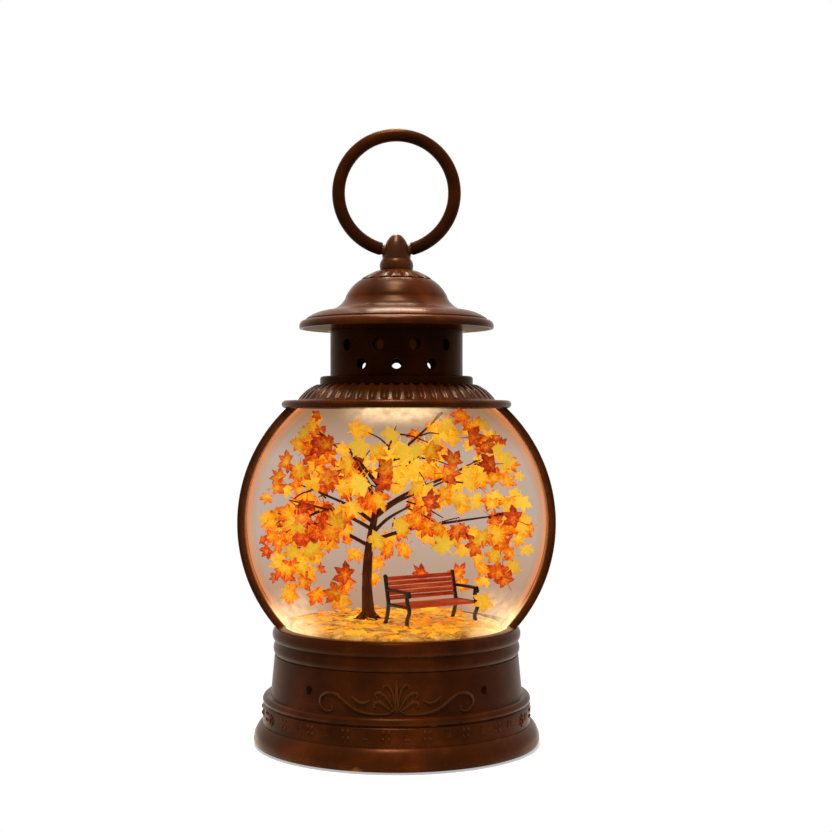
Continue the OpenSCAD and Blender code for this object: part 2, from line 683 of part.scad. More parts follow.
// Leaves that float clear of the tree: compass angle, share of the clear height, distance in from the
// place next to the glass, and seed
drift = [
    [230, 0.37, 0, 314], [165, 0.11, 9, 321], [100, 0.65, 3, 328], [35, 0.38, 12, 335], [329, 0.12, 3, 342],
    [264, 0.66, 12, 349], [134, 0.13, 15, 363], [69, 0.67, 6, 370], [4, 0.41, 0, 377], [234, 0.68, 3, 391],
    [104, 0.15, 3, 405], [333, 0.43, 6, 419], [203, 0.7, 6, 433], [73, 0.17, 9, 447], [8, 0.71, 0, 454],
    [303, 0.45, 9, 461], [238, 0.18, 3, 468], [107, 0.46, 3, 482], [42, 0.19, 12, 489], [337, 0.73, 6, 496],
    [272, 0.47, 15, 503], [207, 0.21, 6, 510], [142, 0.74, 0, 517], [12, 0.22, 3, 531], [307, 0.75, 9, 538],
    [242, 0.49, 3, 545], [176, 0.23, 12, 552], [46, 0.5, 12, 566], [341, 0.24, 6, 573], [146, 0.25, 0, 594],
    [16, 0.52, 3, 608], [115, 0.27, 6, 636], [215, 0.82, 9, 664], [85, 0.29, 9, 678], [20, 0.83, 3, 685],
    [119, 0.57, 6, 713], [349, 0.85, 9, 727], [284, 0.58, 0, 734], [219, 0.32, 9, 741], [154, 0.86, 3, 748],
    [89, 0.59, 12, 755], [24, 0.33, 3, 762], [123, 0.88, 6, 790], [58, 0.62, 0, 797], [353, 0.35, 9, 804],
    [158, 0.36, 3, 825], [322, 0.37, 12, 846], [192, 0.65, 15, 860], [357, 0.66, 9, 881], [292, 0.39, 3, 888],
    [227, 0.13, 12, 895], [326, 0.68, 15, 923], [261, 0.42, 6, 930], [196, 0.15, 0, 937], [296, 0.7, 3, 965],
    [231, 0.44, 12, 972], [265, 0.72, 9, 1007], [5, 0.47, 12, 1035], [334, 0.49, 0, 1077],
    [238, 0.25, 12, 1126], [208, 0.27, 3, 1168], [242, 0.55, 15, 1203]];

module drifting_leaves() color(amber) for (i = [0:drift_count - 1]) {
    turn = drift[i][0];
    z = ground_z + drift[i][1] * (ceiling_z - ground_z);
    seed = drift[i][3];
    reach = ball_at(ball_in, z) - leaf_r - drift_gap - drift[i][2];
    translate([reach * cos(turn), reach * sin(turn), z])
        rotate([90 + chance(seed + 1, -30, 30), 0, chance(seed, -40, 40)]) rotate(chance(seed + 2, 0, 360))
            translate([0, -0.95 * leaf_r, 0]) leaf();
}

module on_ground() translate([bench_x, bench_y, ground_z]) rotate(bench_turn) children();

// Centre lines of the bench's cast end: depth at a height, with the front at -Y
function front_leg(z) = -seat_depth / 2 + 0.9 * sin(360 * z / seat_h);
function arm_post(z) = -seat_depth / 2 + 0.8 * sin(180 * (z - seat_h) / (arm_h - seat_h));
function back_post(z) = seat_depth / 2 + (z < seat_h ? 2.4 * pow(1 - z / seat_h, 2) : 0.22 * (z - seat_h));
end_bar = 1.5;
// Upright bar between two heights, along depths given by its own points
module upright(points) polygon(concat([for (p = points) p - [end_bar / 2, 0]],
    [for (i = [len(points) - 1:-1:0]) points[i] + [end_bar / 2, 0]]));
function steps(low, high, n = 8) = [for (i = [0:n]) low + (high - low) * i / n];

module bench_end() rotate([90, 0, 90]) linear_extrude(end_t, center = true) {
    upright([for (z = steps(0, seat_h)) [front_leg(z), z]]);
    upright([for (z = steps(seat_h - end_bar, arm_h)) [arm_post(max(z, seat_h)), z]]);
    upright([for (z = steps(0, back_h, 12)) [back_post(z), z]]);
    translate([-seat_depth / 2, seat_h - end_bar]) square([seat_depth, end_bar]);
    translate([-seat_depth / 2 - 1, arm_h - end_bar / 2])
        square([back_post(arm_h) + seat_depth / 2 + 1, end_bar * 0.8]);
    translate([-seat_depth / 2 - 1, arm_h - 0.6]) circle(d = 2 * end_bar, $fn = 24);
}

module bench_ends() color(iron) on_ground() for (side = [-1, 1])
    translate([side * (bench_l - end_t) / 2, 0, 0]) bench_end();

slat_count = 5;
slat_gap = 0.4;
module slat(w) cube([bench_l - 2 * end_t, w, slat_t], center = true);

module bench_slats() color(slat_red) on_ground() {
    seat_pitch = seat_depth / slat_count;
    for (i = [0:slat_count - 1])
        translate([0, -seat_depth / 2 + seat_pitch * (i + 0.5), seat_h - end_bar / 2])
            slat(seat_pitch - slat_gap);
    back_low = seat_h + 0.9;
    back_pitch = (back_h - back_low) / slat_count;
    for (i = [0:slat_count - 1]) let (z = back_low + back_pitch * (i + 0.5))
        translate([0, back_post(z), z]) rotate([90 - atan(0.22), 0, 0]) slat(back_pitch - slat_gap);
}

// Drive

module magnet_drive() color(dark_plastic) translate([0, 0, drive_z]) difference() {
    cylinder(d = drive_d, h = drive_t);
    translate([0, 0, -past]) cylinder(d = shaft_d + 2 * running, h = drive_t + 2 * past);
    magnet_places() cylinder(d = magnet_d + 2 * running, h = magnet_h + past);
}

module magnet_places() for (side = [-1, 1]) translate([side * magnet_x, 0, drive_t - magnet_h]) children();

module drive_magnets() color(steel) translate([0, 0, drive_z]) magnet_places()
    cylinder(d = magnet_d, h = magnet_h);

module motor_shaft() color(steel) translate([0, 0, shaft_z])
    cylinder(d = shaft_d, h = drive_top - shaft_z - 0.2);

module motor() color(steel) difference() {
    union() {
        translate([0, 0, motor_z]) cylinder(d = motor_d, h = motor_h);
        translate([0, 0, motor_top - past]) cylinder(d = motor_nose_d, h = motor_nose_h + past);
    }
    translate([0, 0, shaft_z - 0.3]) cylinder(d = shaft_d + 2 * running, h = motor_h);
}

module ears() for (side = [-1, 1]) translate([side * ear_x, 0, lid_top + ear_boss_h]) children();

module motor_bracket() color(pale_plastic) difference() {
    union() {
        translate([0, 0, lid_top])
            cylinder(d = motor_d + 2 * bracket_wall, h = motor_z + motor_h / 2 - lid_top);
        ears() cylinder(r = ear_r, h = ear_t);
        translate([-ear_x, -ear_r, lid_top + ear_boss_h]) cube([2 * ear_x, 2 * ear_r, ear_t]);
    }
    translate([0, 0, motor_z]) cylinder(d = motor_d + 2 * close_fit, h = motor_h);
    ears() translate([0, 0, -past]) cylinder(d = screw_d + 2 * close_fit, h = ear_t + 2 * past);
}

module bracket_screws() color(steel) ears() {
    translate([0, 0, ear_t]) cylinder(d = head_d, h = head_h);
    translate([0, 0, -ear_boss_h + 1]) cylinder(d = screw_d, h = ear_boss_h + ear_t);
}

module led_board() color([0.9, 0.9, 0.86]) translate([0, 0, board_z]) difference() {
    cylinder(r = board_out, h = board_t);
    translate([0, 0, -past]) cylinder(r = board_in, h = board_t + 2 * past);
}

module led_lamps() color([1, 0.85, 0.5]) for (i = [0:led_count - 1])
    rotate((i + 0.5) * 360 / led_count) translate([led_ring_r, 0, board_top]) {
        cylinder(d = led_d, h = led_h - led_d / 2, $fn = 32);
        translate([0, 0, led_h - led_d / 2]) sphere(d = led_d, $fn = 32);
    }

// Bottom plate, battery compartment and switch

module block(x, y, low, high) translate([-x, -y, low]) cube([2 * x, 2 * y, high - low]);

module bottom_plate() color(dark_plastic) difference() {
    union() {
        translate([0, 0, plate_z]) cylinder(r = plate_r, h = plate_t);
        block(box_x + box_wall, box_y + box_wall, plate_z, lid_top);
        translate([0, door_tab_y, plate_z]) cylinder(r = 3, h = plate_t + 6);
        for (side = [-1, 1]) translate([side * ear_x, 0, box_top + 0.5])
            cylinder(r = ear_r, h = ear_boss_h + box_wall - 0.5);
        for (i = [0:2]) rotate(90 + i * 120) translate([post_gap_r, 0, box_top + 0.5])
            cylinder(r = 2, h = board_z - box_top - 0.5);
    }
    block(box_x, box_y, plate_z - past, box_top);
    block(box_x + door_lip, box_y + door_lip, plate_z - past, plate_z + door_lip_t);
    translate([0, door_tab_y, plate_z - past]) cylinder(r = door_tab_r, h = door_lip_t + past);
    translate([0, door_tab_y, plate_z]) cylinder(d = screw_d + close_fit, h = plate_t + 4);
    for (side = [-1, 1]) translate([side * ear_x, 0, lid_top + 0.6])
        cylinder(d = screw_d + close_fit, h = ear_boss_h);
    plate_bosses() translate([0, 0, -plate_t - past]) {
        cylinder(d = screw_d + 2 * close_fit, h = plate_t + 2 * past);
        cylinder(d = head_d + 4 * close_fit, h = head_h + past);
    }
    translate([0, switch_y, 0])
        block((knob_x + switch_travel) / 2 + loose, knob_y / 2 + loose, 0, plate_top + past);
}

module plate_screws() color(steel) plate_bosses() translate([0, 0, -plate_t]) {
    cylinder(d = head_d, h = head_h);
    translate([0, 0, head_h]) cylinder(d = screw_d, h = boss_h - 3);
}

module rubber_feet() color(dark_plastic) for (i = [0:3]) rotate(i * 90) translate([pad_ring_r, 0, 0])
    cylinder(d = foot_pad_d, h = plate_z);

module battery_cells() color([0.75, 0.55, 0.3]) for (i = [0:cell_count - 1])
    translate([(i - (cell_count - 1) / 2) * cell_pitch, 0, cell_z]) rotate([i % 2 == 0 ? 90 : -90, 0, 0]) {
        translate([0, 0, -cell_l / 2]) cylinder(d = cell_d, h = cell_l - 1.4);
        translate([0, 0, cell_l / 2 - 1.5]) cylinder(d = 5.4, h = 1.5);
    }

// Sheet contacts: a strip on the end wall, and one bowed tongue to each cell
module battery_contacts() color(steel) for (side = [-1, 1]) rotate(side < 0 ? 180 : 0)
    translate([0, box_y - contact_t / 2 - running, cell_z]) {
        block(box_x - 1, contact_t / 2, -4.5, 4.5);
        for (i = [0:cell_count - 1]) translate([(i - (cell_count - 1) / 2) * cell_pitch, -contact_t / 2, 0])
            tongue();
    }

module tongue() rotate([90, 0, 90]) linear_extrude(5, center = true)
    polygon(concat([for (a = steps(-90, 90)) [-tongue_reach() * cos(a), 4.5 * sin(a)]],
        [for (a = steps(90, -90)) [-(tongue_reach() - contact_t) * cos(a) + 0.05, 4 * sin(a)]]));

function tongue_reach() = contact_room - contact_t - cell_gap;

module battery_door() color(dark_plastic) difference() {
    union() {
        block(box_x + door_lip - loose, box_y + door_lip - loose, plate_z,
            plate_z + door_lip_t - close_fit);
        translate([0, door_tab_y, plate_z])
            cylinder(r = door_tab_r - loose, h = door_lip_t - close_fit);
        block(box_x - loose, box_y - loose, plate_z, plate_top);
    }
    translate([0, door_tab_y, plate_z - past])
        cylinder(d = screw_d + 2 * close_fit, h = plate_t + 2 * past);
    for (i = [0:3]) translate([0, -box_y + 4 + 2.4 * i, plate_z]) block(8, 0.6, -past, 0.5);
}

module door_screw() color(steel) translate([0, door_tab_y, plate_z - head_h]) {
    cylinder(d = head_d, h = head_h);
    translate([0, 0, head_h]) cylinder(d = screw_d, h = plate_t + 2);
}

module switch_body() color(dark_plastic) translate([0, switch_y, 0]) difference() {
    block(switch_x / 2, switch_depth / 2, plate_top, plate_top + switch_h);
    block((slider_x + switch_travel) / 2 + loose, slider_y / 2 + loose, plate_top - past,
        slider_z + slider_h + loose);
}

// The knob rests at one end of its slot, in the ON place
module switch_knob() color([0.7, 0.7, 0.7]) translate([-switch_travel / 2, switch_y, 0]) {
    block(knob_x / 2, knob_y / 2, plate_z - 0.9, slider_z + 0.2);
    block(slider_x / 2, slider_y / 2, slider_z, slider_z + slider_h);
}

ring_handle();
finial();
finial_nut();
scallop_collar();
cap();
chimney();
shoulder();
globe_pad();
globe();
strap_left();
strap_right();
base_shell();
globe_stopper();
stopper_seal();
ground();
tree_trunk();
tree_leaves();
drifting_leaves();
bench_ends();
bench_slats();
impeller();
impeller_pin();
magnet_drive();
drive_magnets();
motor_shaft();
motor();
motor_bracket();
bracket_screws();
led_board();
led_lamps();
bottom_plate();
plate_screws();
rubber_feet();
battery_cells();
battery_contacts();
battery_door();
door_screw();
switch_body();
switch_knob();
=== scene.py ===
from math import asin, atan, atan2, cos, degrees, floor, pi, radians, sin, sqrt
import bmesh
import bpy
from mathutils import Matrix, Vector, noise


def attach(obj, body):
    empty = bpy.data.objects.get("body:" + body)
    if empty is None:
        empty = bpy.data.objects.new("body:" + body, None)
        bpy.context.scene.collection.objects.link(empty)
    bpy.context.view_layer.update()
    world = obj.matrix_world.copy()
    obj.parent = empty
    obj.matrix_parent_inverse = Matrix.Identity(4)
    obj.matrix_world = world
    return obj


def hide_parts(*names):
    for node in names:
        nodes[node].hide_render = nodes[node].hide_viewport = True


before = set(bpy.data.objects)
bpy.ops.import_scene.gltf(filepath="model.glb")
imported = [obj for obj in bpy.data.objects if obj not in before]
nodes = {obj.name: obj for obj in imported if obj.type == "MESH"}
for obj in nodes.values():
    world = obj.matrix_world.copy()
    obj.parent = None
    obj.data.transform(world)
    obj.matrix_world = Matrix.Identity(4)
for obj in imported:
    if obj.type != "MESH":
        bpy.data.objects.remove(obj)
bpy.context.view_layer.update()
scene = bpy.context.scene
scene.view_settings.view_transform = "Standard"
mm = 0.001
print("frame loaded with", len(nodes), "nodes")

# camera: level, a little under the shoulder, the lantern stands left of the middle
camera = {"distance": 612, "height": 136.9, "focal": 1450, "axisColumn": 396.5, "picture": 832, "sensor": 36}
lens = bpy.data.cameras.new("camera")
lens.sensor_width = camera["sensor"]
lens.lens = camera["sensor"] * camera["focal"] / camera["picture"]
lens.shift_x = 0.5 - camera["axisColumn"] / camera["picture"]
lens.clip_start = 0.01
eye = bpy.data.objects.new("camera", lens)
eye.location = (0, -camera["distance"] * mm, camera["height"] * mm)
eye.rotation_euler = (radians(90), 0, 0)
scene.collection.objects.link(eye)
scene.camera = eye


# colours are written as they look on a screen, 0 to 255
def screen(r, g, b):
    return tuple((c / 255 / 12.92) if c <= 10 else ((c / 255 + 0.055) / 1.055) ** 2.4 for c in (r, g, b))


# small tools for finishes; they add nodes to the tree in hand, which is a finish's or the world's
inHand = {}


def join(socket, value):
    if isinstance(value, bpy.types.NodeSocket):
        socket.id_data.links.new(value, socket)
    else:
        socket.default_value = value


def addNode(kind, inputs=None, **settings):
    node = inHand["tree"].nodes.new("ShaderNode" + kind)
    for name, value in settings.items():
        setattr(node, name, value)
    for name, value in (inputs or {}).items():
        join(node.inputs[name], value)
    return node


def newFinish(name, slot, sockets=None):
    finish = bpy.data.materials.new(name)
    finish.use_nodes = True
    finish["slot"] = slot
    inHand["tree"] = finish.node_tree
    shader = finish.node_tree.nodes["Principled BSDF"]
    for socket, value in (sockets or {}).items():
        shader.inputs[socket].default_value = value
    return finish, shader


def calc(operation, first, *others):
    for other in others or (0.0,):
        first = addNode("Math", {0: first, 1: other}, operation=operation).outputs[0]
    return first


def ramp(amount, *stops):
    node = addNode("ValToRGB", {"Fac": amount})
    marks = node.color_ramp.elements
    marks[0].position, marks[1].position = stops[0][0], stops[-1][0]
    for place, shade in stops[1:-1]:
        marks.new(place)
    for mark, (place, shade) in zip(marks, stops):
        mark.color = (*shade, 1) if isinstance(shade, tuple) else (shade, shade, shade, 1)
    return node.outputs["Color"]


def tones(amount, *stops):
    return ramp(amount, *((place, screen(*colour)) for place, colour in stops))


def objectPlace(scale=(1, 1, 1), turn=0):
    place = addNode("TexCoord").outputs["Object"]
    place = addNode("Mapping", {"Vector": place, "Rotation": (0, 0, turn)}).outputs["Vector"]
    return addNode("Mapping", {"Vector": place, "Scale": scale}).outputs["Vector"]


def cloud(place, size, detail=4, rough=0.55):
    return addNode("TexNoise", {"Vector": place, "Scale": 1 / (size * mm), "Detail": detail,
                                "Roughness": rough}).outputs["Fac"]


def slope(value, low, high):
    return addNode("MapRange", {"Value": value, "From Min": low, "From Max": high},
                   interpolation_type="SMOOTHSTEP").outputs[0]


def blend(amount, a, b):
    node = addNode("Mix", data_type="RGBA")
    for k, value in ((0, amount), (6, a), (7, b)):
        join(node.inputs[k], (*value, 1) if isinstance(value, tuple) else value)
    return node.outputs[2]


def bump(shader, height, distance, strength):
    node = addNode("Bump", {"Height": height, "Distance": distance * mm, "Strength": strength})
    join(shader.inputs["Normal"], node.outputs["Normal"])


# the colour is given off as light too: a painted glow of the lamp light inside the globe
def glowing(shader, colour):
    for socket in ("Base Color", "Emission Color"):
        join(shader.inputs[socket], colour)


def frontOnly():
    return calc("SUBTRACT", 1.0, addNode("NewGeometry").outputs["Backfacing"])


# the eye, gloss and glass see white
def whiteRays():
    rays = addNode("LightPath").outputs
    return calc("MAXIMUM", rays["Is Camera Ray"], rays["Is Glossy Ray"], rays["Is Transmission Ray"])


# bronze-brown metallic paint: faintly mottled, with fine moulding grain, rubbed to copper on raised edges as
# wear and painted highlight
bronze = {"deep": (46, 17, 2), "body": (63, 25, 3), "warm": (86, 37, 6), "wornAndHighlit": (160, 94, 40), "mottle": 16,
          "rub": 2.5, "grain": 0.5, "wearFrom": 0.54, "wearTo": 0.66, "rough": (0.34, 0.25),
          "tint": (1, 0.78, 0.5, 1)}


def bronzeFinish(name, shade=1.0, wear=1.0, gloss=0.06, metal=0.14, slot="bronze_plastic"):
    finish, shader = newFinish(name, slot, {"Metallic": metal, "Specular Tint": bronze["tint"],
                                            "Specular IOR Level": gloss})
    deep, body, warm, wornAndHighlit = [tuple(c * shade for c in screen(*bronze[tone]))
                              for tone in ("deep", "body", "warm", "wornAndHighlit")]
    place = objectPlace()
    patch = cloud(place, bronze["mottle"])
    paint = ramp(patch, (0.3, deep), (0.52, body), (0.74, warm))
    # lighter copper where the surface is sharp: wear, and a painted highlight on ridges and relief
    edge = addNode("NewGeometry").outputs["Pointiness"]
    rubbed = ramp(edge, (bronze["wearFrom"], 0), (bronze["wearTo"], wear))
    patchy = calc("MULTIPLY", rubbed, cloud(place, bronze["rub"]))
    join(shader.inputs["Base Color"], blend(patchy, paint, wornAndHighlit))
    join(shader.inputs["Roughness"], ramp(patch, (0.25, bronze["rough"][0]), (0.75, bronze["rough"][1])))
    bump(shader, cloud(place, bronze["grain"], 2), 0.03, 0.4)
    return finish


bronzePaint = bronzeFinish("bronzePaint")
rubbedBronze = bronzeFinish("rubbedBronze", 0.85, 0.55, 0.14)
stampedBronze = bronzeFinish("stampedBronze", 0.95, 0.3)
polishedBronze = bronzeFinish("polishedBronze", gloss=0.16)
brimBronze = bronzeFinish("brimBronze", 1.0, 0.0, 0.0, 0.4)
darkBronze = bronzeFinish("darkBronze", 0.7, 1.0, 0.03, slot="dark_bronze_plastic")
# the darkest copy of the paint is painted shade, on the chimney under the brim and on the studs
paintedShadeBronze = bronzeFinish("paintedShadeBronze", 0.42, 0.0, 0.012, slot="dark_bronze_plastic")


# moulded plastic, rubber and plated metal of the works and the underside
def mouldedFinish(name, slot, colour, rough, grain=0.35, sockets=None):
    finish, shader = newFinish(name, slot, sockets)
    place = objectPlace()
    patch = cloud(place, 6)
    dark, light = [tuple(min(1, share * c) for c in screen(*colour)) for share in (0.8, 1.1)]
    join(shader.inputs["Base Color"], ramp(patch, (0.3, dark), (0.7, light)))
    join(shader.inputs["Roughness"], ramp(patch, (0.3, rough + 0.08), (0.7, rough - 0.06)))
    bump(shader, cloud(place, grain, 2), 0.03, 0.6)
    return finish


blackPlastic = mouldedFinish("blackPlastic", "black_plastic", (38, 36, 34), 0.5)
greyPlastic = mouldedFinish("greyPlastic", "grey_plastic", (150, 150, 150), 0.45)
whitePlastic = mouldedFinish("whitePlastic", "white_plastic", (222, 218, 208), 0.45)
blackRubber = mouldedFinish("blackRubber", "black_rubber", (30, 29, 28), 0.7, 0.6)
platedSteel = mouldedFinish("platedSteel", "steel", (176, 176, 180), 0.28, 0.8, {"Metallic": 1.0})
boardWhite = mouldedFinish("boardWhite", "circuit_board", (214, 218, 206), 0.4)
lampLens = mouldedFinish("lampLens", "warm_lamp", (255, 226, 150), 0.2,
                         sockets={"Emission Color": (*screen(255, 206, 120), 1), "Emission Strength": 4.0})
cellJacket = mouldedFinish("cellJacket", "cell_jacket", (196, 148, 84), 0.35)
clearPlastic = mouldedFinish("clearPlastic", "clear_plastic", (242, 238, 228), 0.16, sockets={"Alpha": 0.4})
castIron = mouldedFinish("castIron", "black_iron", (30, 27, 25), 0.42, 0.5)

# globe glass: thin and smoky, lamp light caught along its rim and in pools at its foot and crown
glass = {"low": (216, 190, 168), "middle": (222, 208, 198), "top": (196, 168, 142), "amber": (224, 150, 84),
         "glow": (255, 158, 58), "hot": (255, 236, 190), "strength": 1.2, "shine": (1, 0.93, 0.84, 1),
         "foot": 0.049, "crown": 0.144, "pool": (255, 232, 180),
         "pools": [{"across": (0.027, 0.046), "height": (0.063, 0.051)},
                   {"across": (0.026, 0.004), "height": (0.131, 0.140)}]}


def glassFinish():
    finish, shader = newFinish("globeGlass", "clear_glass")
    finish.node_tree.nodes.remove(shader)
    place = addNode("TexCoord").outputs["Object"]
    axes = addNode("SeparateXYZ", {"Vector": place}).outputs
    across, height = calc("ABSOLUTE", axes["X"]), axes["Z"]
    level = addNode("MapRange", {"Value": height, "From Min": glass["foot"],
                                 "From Max": glass["crown"]}).outputs[0]
    facing = addNode("LayerWeight", {"Blend": 0.5}).outputs["Facing"]
    # wall: tinted through, darker towards the top as painted shade under the shoulder, amber towards the
    # outline as a painted glow of the lamps, a faint gloss outside
    tint = tones(level, (0, glass["low"]), (0.4, glass["middle"]), (0.75, glass["middle"]), (1, glass["top"]))
    edge = ramp(facing, (0.62, 0), (0.8, 0.35), (0.95, 0.8))
    through = addNode("BsdfTransparent", {"Color": blend(edge, tint, screen(*glass["amber"]))})
    shine = addNode("BsdfGlossy", {"Roughness": 0.04, "Color": glass["shine"]})
    sheen = calc("MULTIPLY", ramp(facing, (0.36, 0), (0.8, 0.015), (1, 0.15)), frontOnly())
    surface = addNode("MixShader", {"Fac": sheen, 1: through.outputs[0], 2: shine.outputs[0]})
    # light: streaks along the rim, strongest at the foot, and the pools
    rim = ramp(facing, (0.66, 0), (0.84, 0.3), (1, 1))
    low = ramp(level, (0, 1), (0.22, 0.55), (0.6, 0.4), (1, 0.5))
    streaks = ramp(cloud(objectPlace((1, 1, 0.25)), 5, 3), (0.35, 0.25), (0.65, 1))
    colour = tones(level, (0, glass["hot"]), (0.16, glass["glow"]), (1, glass["glow"]))
    amount = calc("MULTIPLY", rim, low, streaks, glass["strength"])
    pools = [calc("MULTIPLY", slope(across, *pool["across"]), slope(height, *pool["height"]))
             for pool in glass["pools"]]
    uneven = ramp(cloud(place, 4), (0.3, 0.3), (0.7, 0.9))
    spread = calc("MULTIPLY", calc("ADD", *pools), uneven)
    poolColour = (*screen(*glass["pool"]), 1)
    for light in ({"Color": colour, "Strength": amount}, {"Color": poolColour, "Strength": spread}):
        lit = addNode("Emission", light)
        surface = addNode("AddShader", {0: surface.outputs[0], 1: lit.outputs[0]})
    join(finish.node_tree.nodes["Material Output"].inputs["Surface"], surface.outputs[0])
    return finish


globeGlass = glassFinish()

# leaves: yellow to red by each leaf's own tone, darker towards the tips, with pale veins, glowing with painted
# lamp light
leaf = {"size": 6.0, "thick": 0.28, "stalk": 0.95, "curl": (0.9, 0.35), "glow": 0.68, "litterGlow": 0.55,
        "veins": (90, 37, -24), "tips": 0.42, "patches": 1.3, "paler": 0.12,
        "half": [(0.95, -88.5), (0.40, -84), (0.36, -62), (0.52, -44), (0.74, -26), (0.60, -14), (0.52, 2),
                 (0.70, 14), (0.80, 26), (1.0, 37), (0.80, 46), (0.74, 53), (0.50, 62), (0.66, 72), (0.74, 80)],
        "tones": [(0.0, (255, 226, 76)), (0.28, (252, 198, 36)), (0.48, (242, 142, 24)), (0.7, (212, 72, 16)),
                  (1.0, (128, 38, 14))]}


def leafFinish(name, glow):
    finish, shader = newFinish(name, "autumn_leaves", {"Roughness": 0.55, "Emission Strength": glow})
    flat = addNode("Attribute", attribute_name="flat").outputs["Vector"]
    tone = addNode("Attribute", attribute_name="tone").outputs["Fac"]
    axes = addNode("SeparateXYZ", {"Vector": flat}).outputs
    reach = addNode("VectorMath", {0: flat}, operation="LENGTH").outputs["Value"]
    side = calc("ABSOLUTE", axes["X"])
    veins = []
    for angle in leaf["veins"]:
        across = calc("MULTIPLY", side, sin(radians(angle)))
        along = calc("MULTIPLY", axes["Y"], cos(radians(angle)))
        veins.append(calc("ABSOLUTE", calc("SUBTRACT", across, along)))
    pale = ramp(calc("MINIMUM", *veins), (0.01, 1), (0.05, 0))
    patch = cloud(objectPlace(), 2.0, 5, 0.75)
    tips = calc("MULTIPLY", calc("SUBTRACT", reach, 0.5), leaf["tips"])
    patches = calc("MULTIPLY", calc("SUBTRACT", patch, 0.5), leaf["patches"])
    mixed = calc("ADD", tone, tips, patches)
    lighter = calc("MULTIPLY", pale, leaf["paler"])
    glowing(shader, tones(calc("SUBTRACT", mixed, lighter), *leaf["tones"]))
    bump(shader, pale, 0.15, 0.6)
    return finish


autumnLeaf = leafFinish("autumnLeaf", leaf["glow"])
litterLeaf = leafFinish("litterLeaf", leaf["litterGlow"])

# bark, litter ground and stained slats of the little scene; ground and slats glow with painted lamp light
barkLook = {"ridge": 1.1, "stretch": 0.22,
            "tones": [(0.32, (38, 20, 10)), (0.55, (84, 45, 22)), (0.75, (134, 78, 38))]}
groundLook = {"patch": 4, "crumb": 1.2, "glow": 0.55, "edge": (0.024, 0.04), "paintedGlowTone": (255, 244, 205),
              "tones": [(0.34, (88, 50, 14)), (0.43, (186, 144, 56)), (0.55, (232, 204, 108)),
                        (0.72, (255, 240, 166))]}
slatLook = {"grain": 0.9, "stretch": 0.06, "glow": 0.45,
            "tones": [(0.32, (98, 24, 8)), (0.46, (182, 60, 18)), (0.58, (204, 80, 28)), (0.7, (240, 140, 66))]}


def barkFinish():
    finish, shader = newFinish("bark", "bark", {"Roughness": 0.8})
    ridges = cloud(objectPlace((1, 1, barkLook["stretch"])), barkLook["ridge"], 6, 0.65)
    join(shader.inputs["Base Color"], tones(ridges, *barkLook["tones"]))
    bump(shader, ridges, 0.5, 0.9)
    return finish


def groundFinish():
    finish, shader = newFinish("litterGround", "leaf_litter",
                               {"Roughness": 0.75, "Emission Strength": groundLook["glow"]})
    place = objectPlace()
    colour = tones(cloud(place, groundLook["patch"], 6, 0.7), *groundLook["tones"])
    across = calc("ABSOLUTE", addNode("SeparateXYZ", {"Vector": place}).outputs["X"])
    # the ground's left and right ends turn near-white: a painted glow of the lamps at the glass's foot
    edge = slope(across, *groundLook["edge"])
    glowing(shader, blend(edge, colour, screen(*groundLook["paintedGlowTone"])))
    bump(shader, cloud(place, groundLook["crumb"], 5, 0.7), 0.6, 0.9)
    return finish


def slatFinish(turn):
    finish, shader = newFinish("stainedSlat", "bench_slat",
                               {"Roughness": 0.45, "Emission Strength": slatLook["glow"]})
    grain = cloud(objectPlace((slatLook["stretch"], 1, 1), turn), slatLook["grain"], 5, 0.6)
    glowing(shader, tones(grain, *slatLook["tones"]))
    bump(shader, grain, 0.12, 0.6)
    return finish


bark = barkFinish()
litterGround = groundFinish()
print("finishes made")


# small tools for shapes, in millimetres
def steps(low, high, n):
    return [low + (high - low) * i / n for i in range(n + 1)]


def arc(x, z, r, a0, a1, n):
    return [(x + r * cos(radians(a)), z + r * sin(radians(a))) for a in steps(a0, a1, n)]


def swelling(edge, swell, z0, z1):
    half = (z1 - z0) / 2
    r = (half * half + swell * swell) / (2 * swell)
    lean = degrees(asin(half / r))
    return arc(edge + swell - r, (z0 + z1) / 2, r, -lean, lean, 10)


def lifted(profile, z):
    return [(r, h + z) for r, h in profile]


def at(x, y, z):
    return Matrix.Translation(Vector((x, y, z)) * mm)


def turned(angle, axis):
    return Matrix.Rotation(angle, 4, axis)


def ball(bm, radius, place, around, rows):
    bmesh.ops.create_uvsphere(bm, u_segments=around, v_segments=rows, radius=radius * mm, matrix=place)


def crossRod(bm, radius, length, place, around):
    return bmesh.ops.create_cone(bm, cap_ends=True, segments=around, radius1=radius * mm, radius2=radius * mm,
                                 depth=length * mm, matrix=place @ turned(pi / 2, "Y"))["verts"]


def spun(profile, around, closed=True):
    bm = bmesh.new()
    line = [bm.verts.new((r * mm, 0, z * mm)) for r, z in profile]
    edges = [bm.edges.new(pair) for pair in zip(line, line[1:])]
    if closed:
        edges.append(bm.edges.new((line[-1], line[0])))
    bmesh.ops.spin(bm, geom=line + edges, axis=(0, 0, 1), cent=(0, 0, 0), angle=2 * pi, steps=around,
                   use_merge=True)
    bmesh.ops.remove_doubles(bm, verts=bm.verts, dist=0.004 * mm)
    bmesh.ops.recalc_face_normals(bm, faces=bm.faces)
    return bm


def rounded(bm, edges, width, clamp=False):
    bmesh.ops.bevel(bm, geom=edges, offset=width * mm, offset_type="OFFSET", affect="EDGES", segments=2,
                    profile=0.5, material=-1, clamp_overlap=clamp)


def soften(bm, width, sharp=38):
    edges = [e for e in bm.edges if len(e.link_faces) == 2 and e.calc_face_angle(0) > radians(sharp)]
    rounded(bm, edges, width, True)


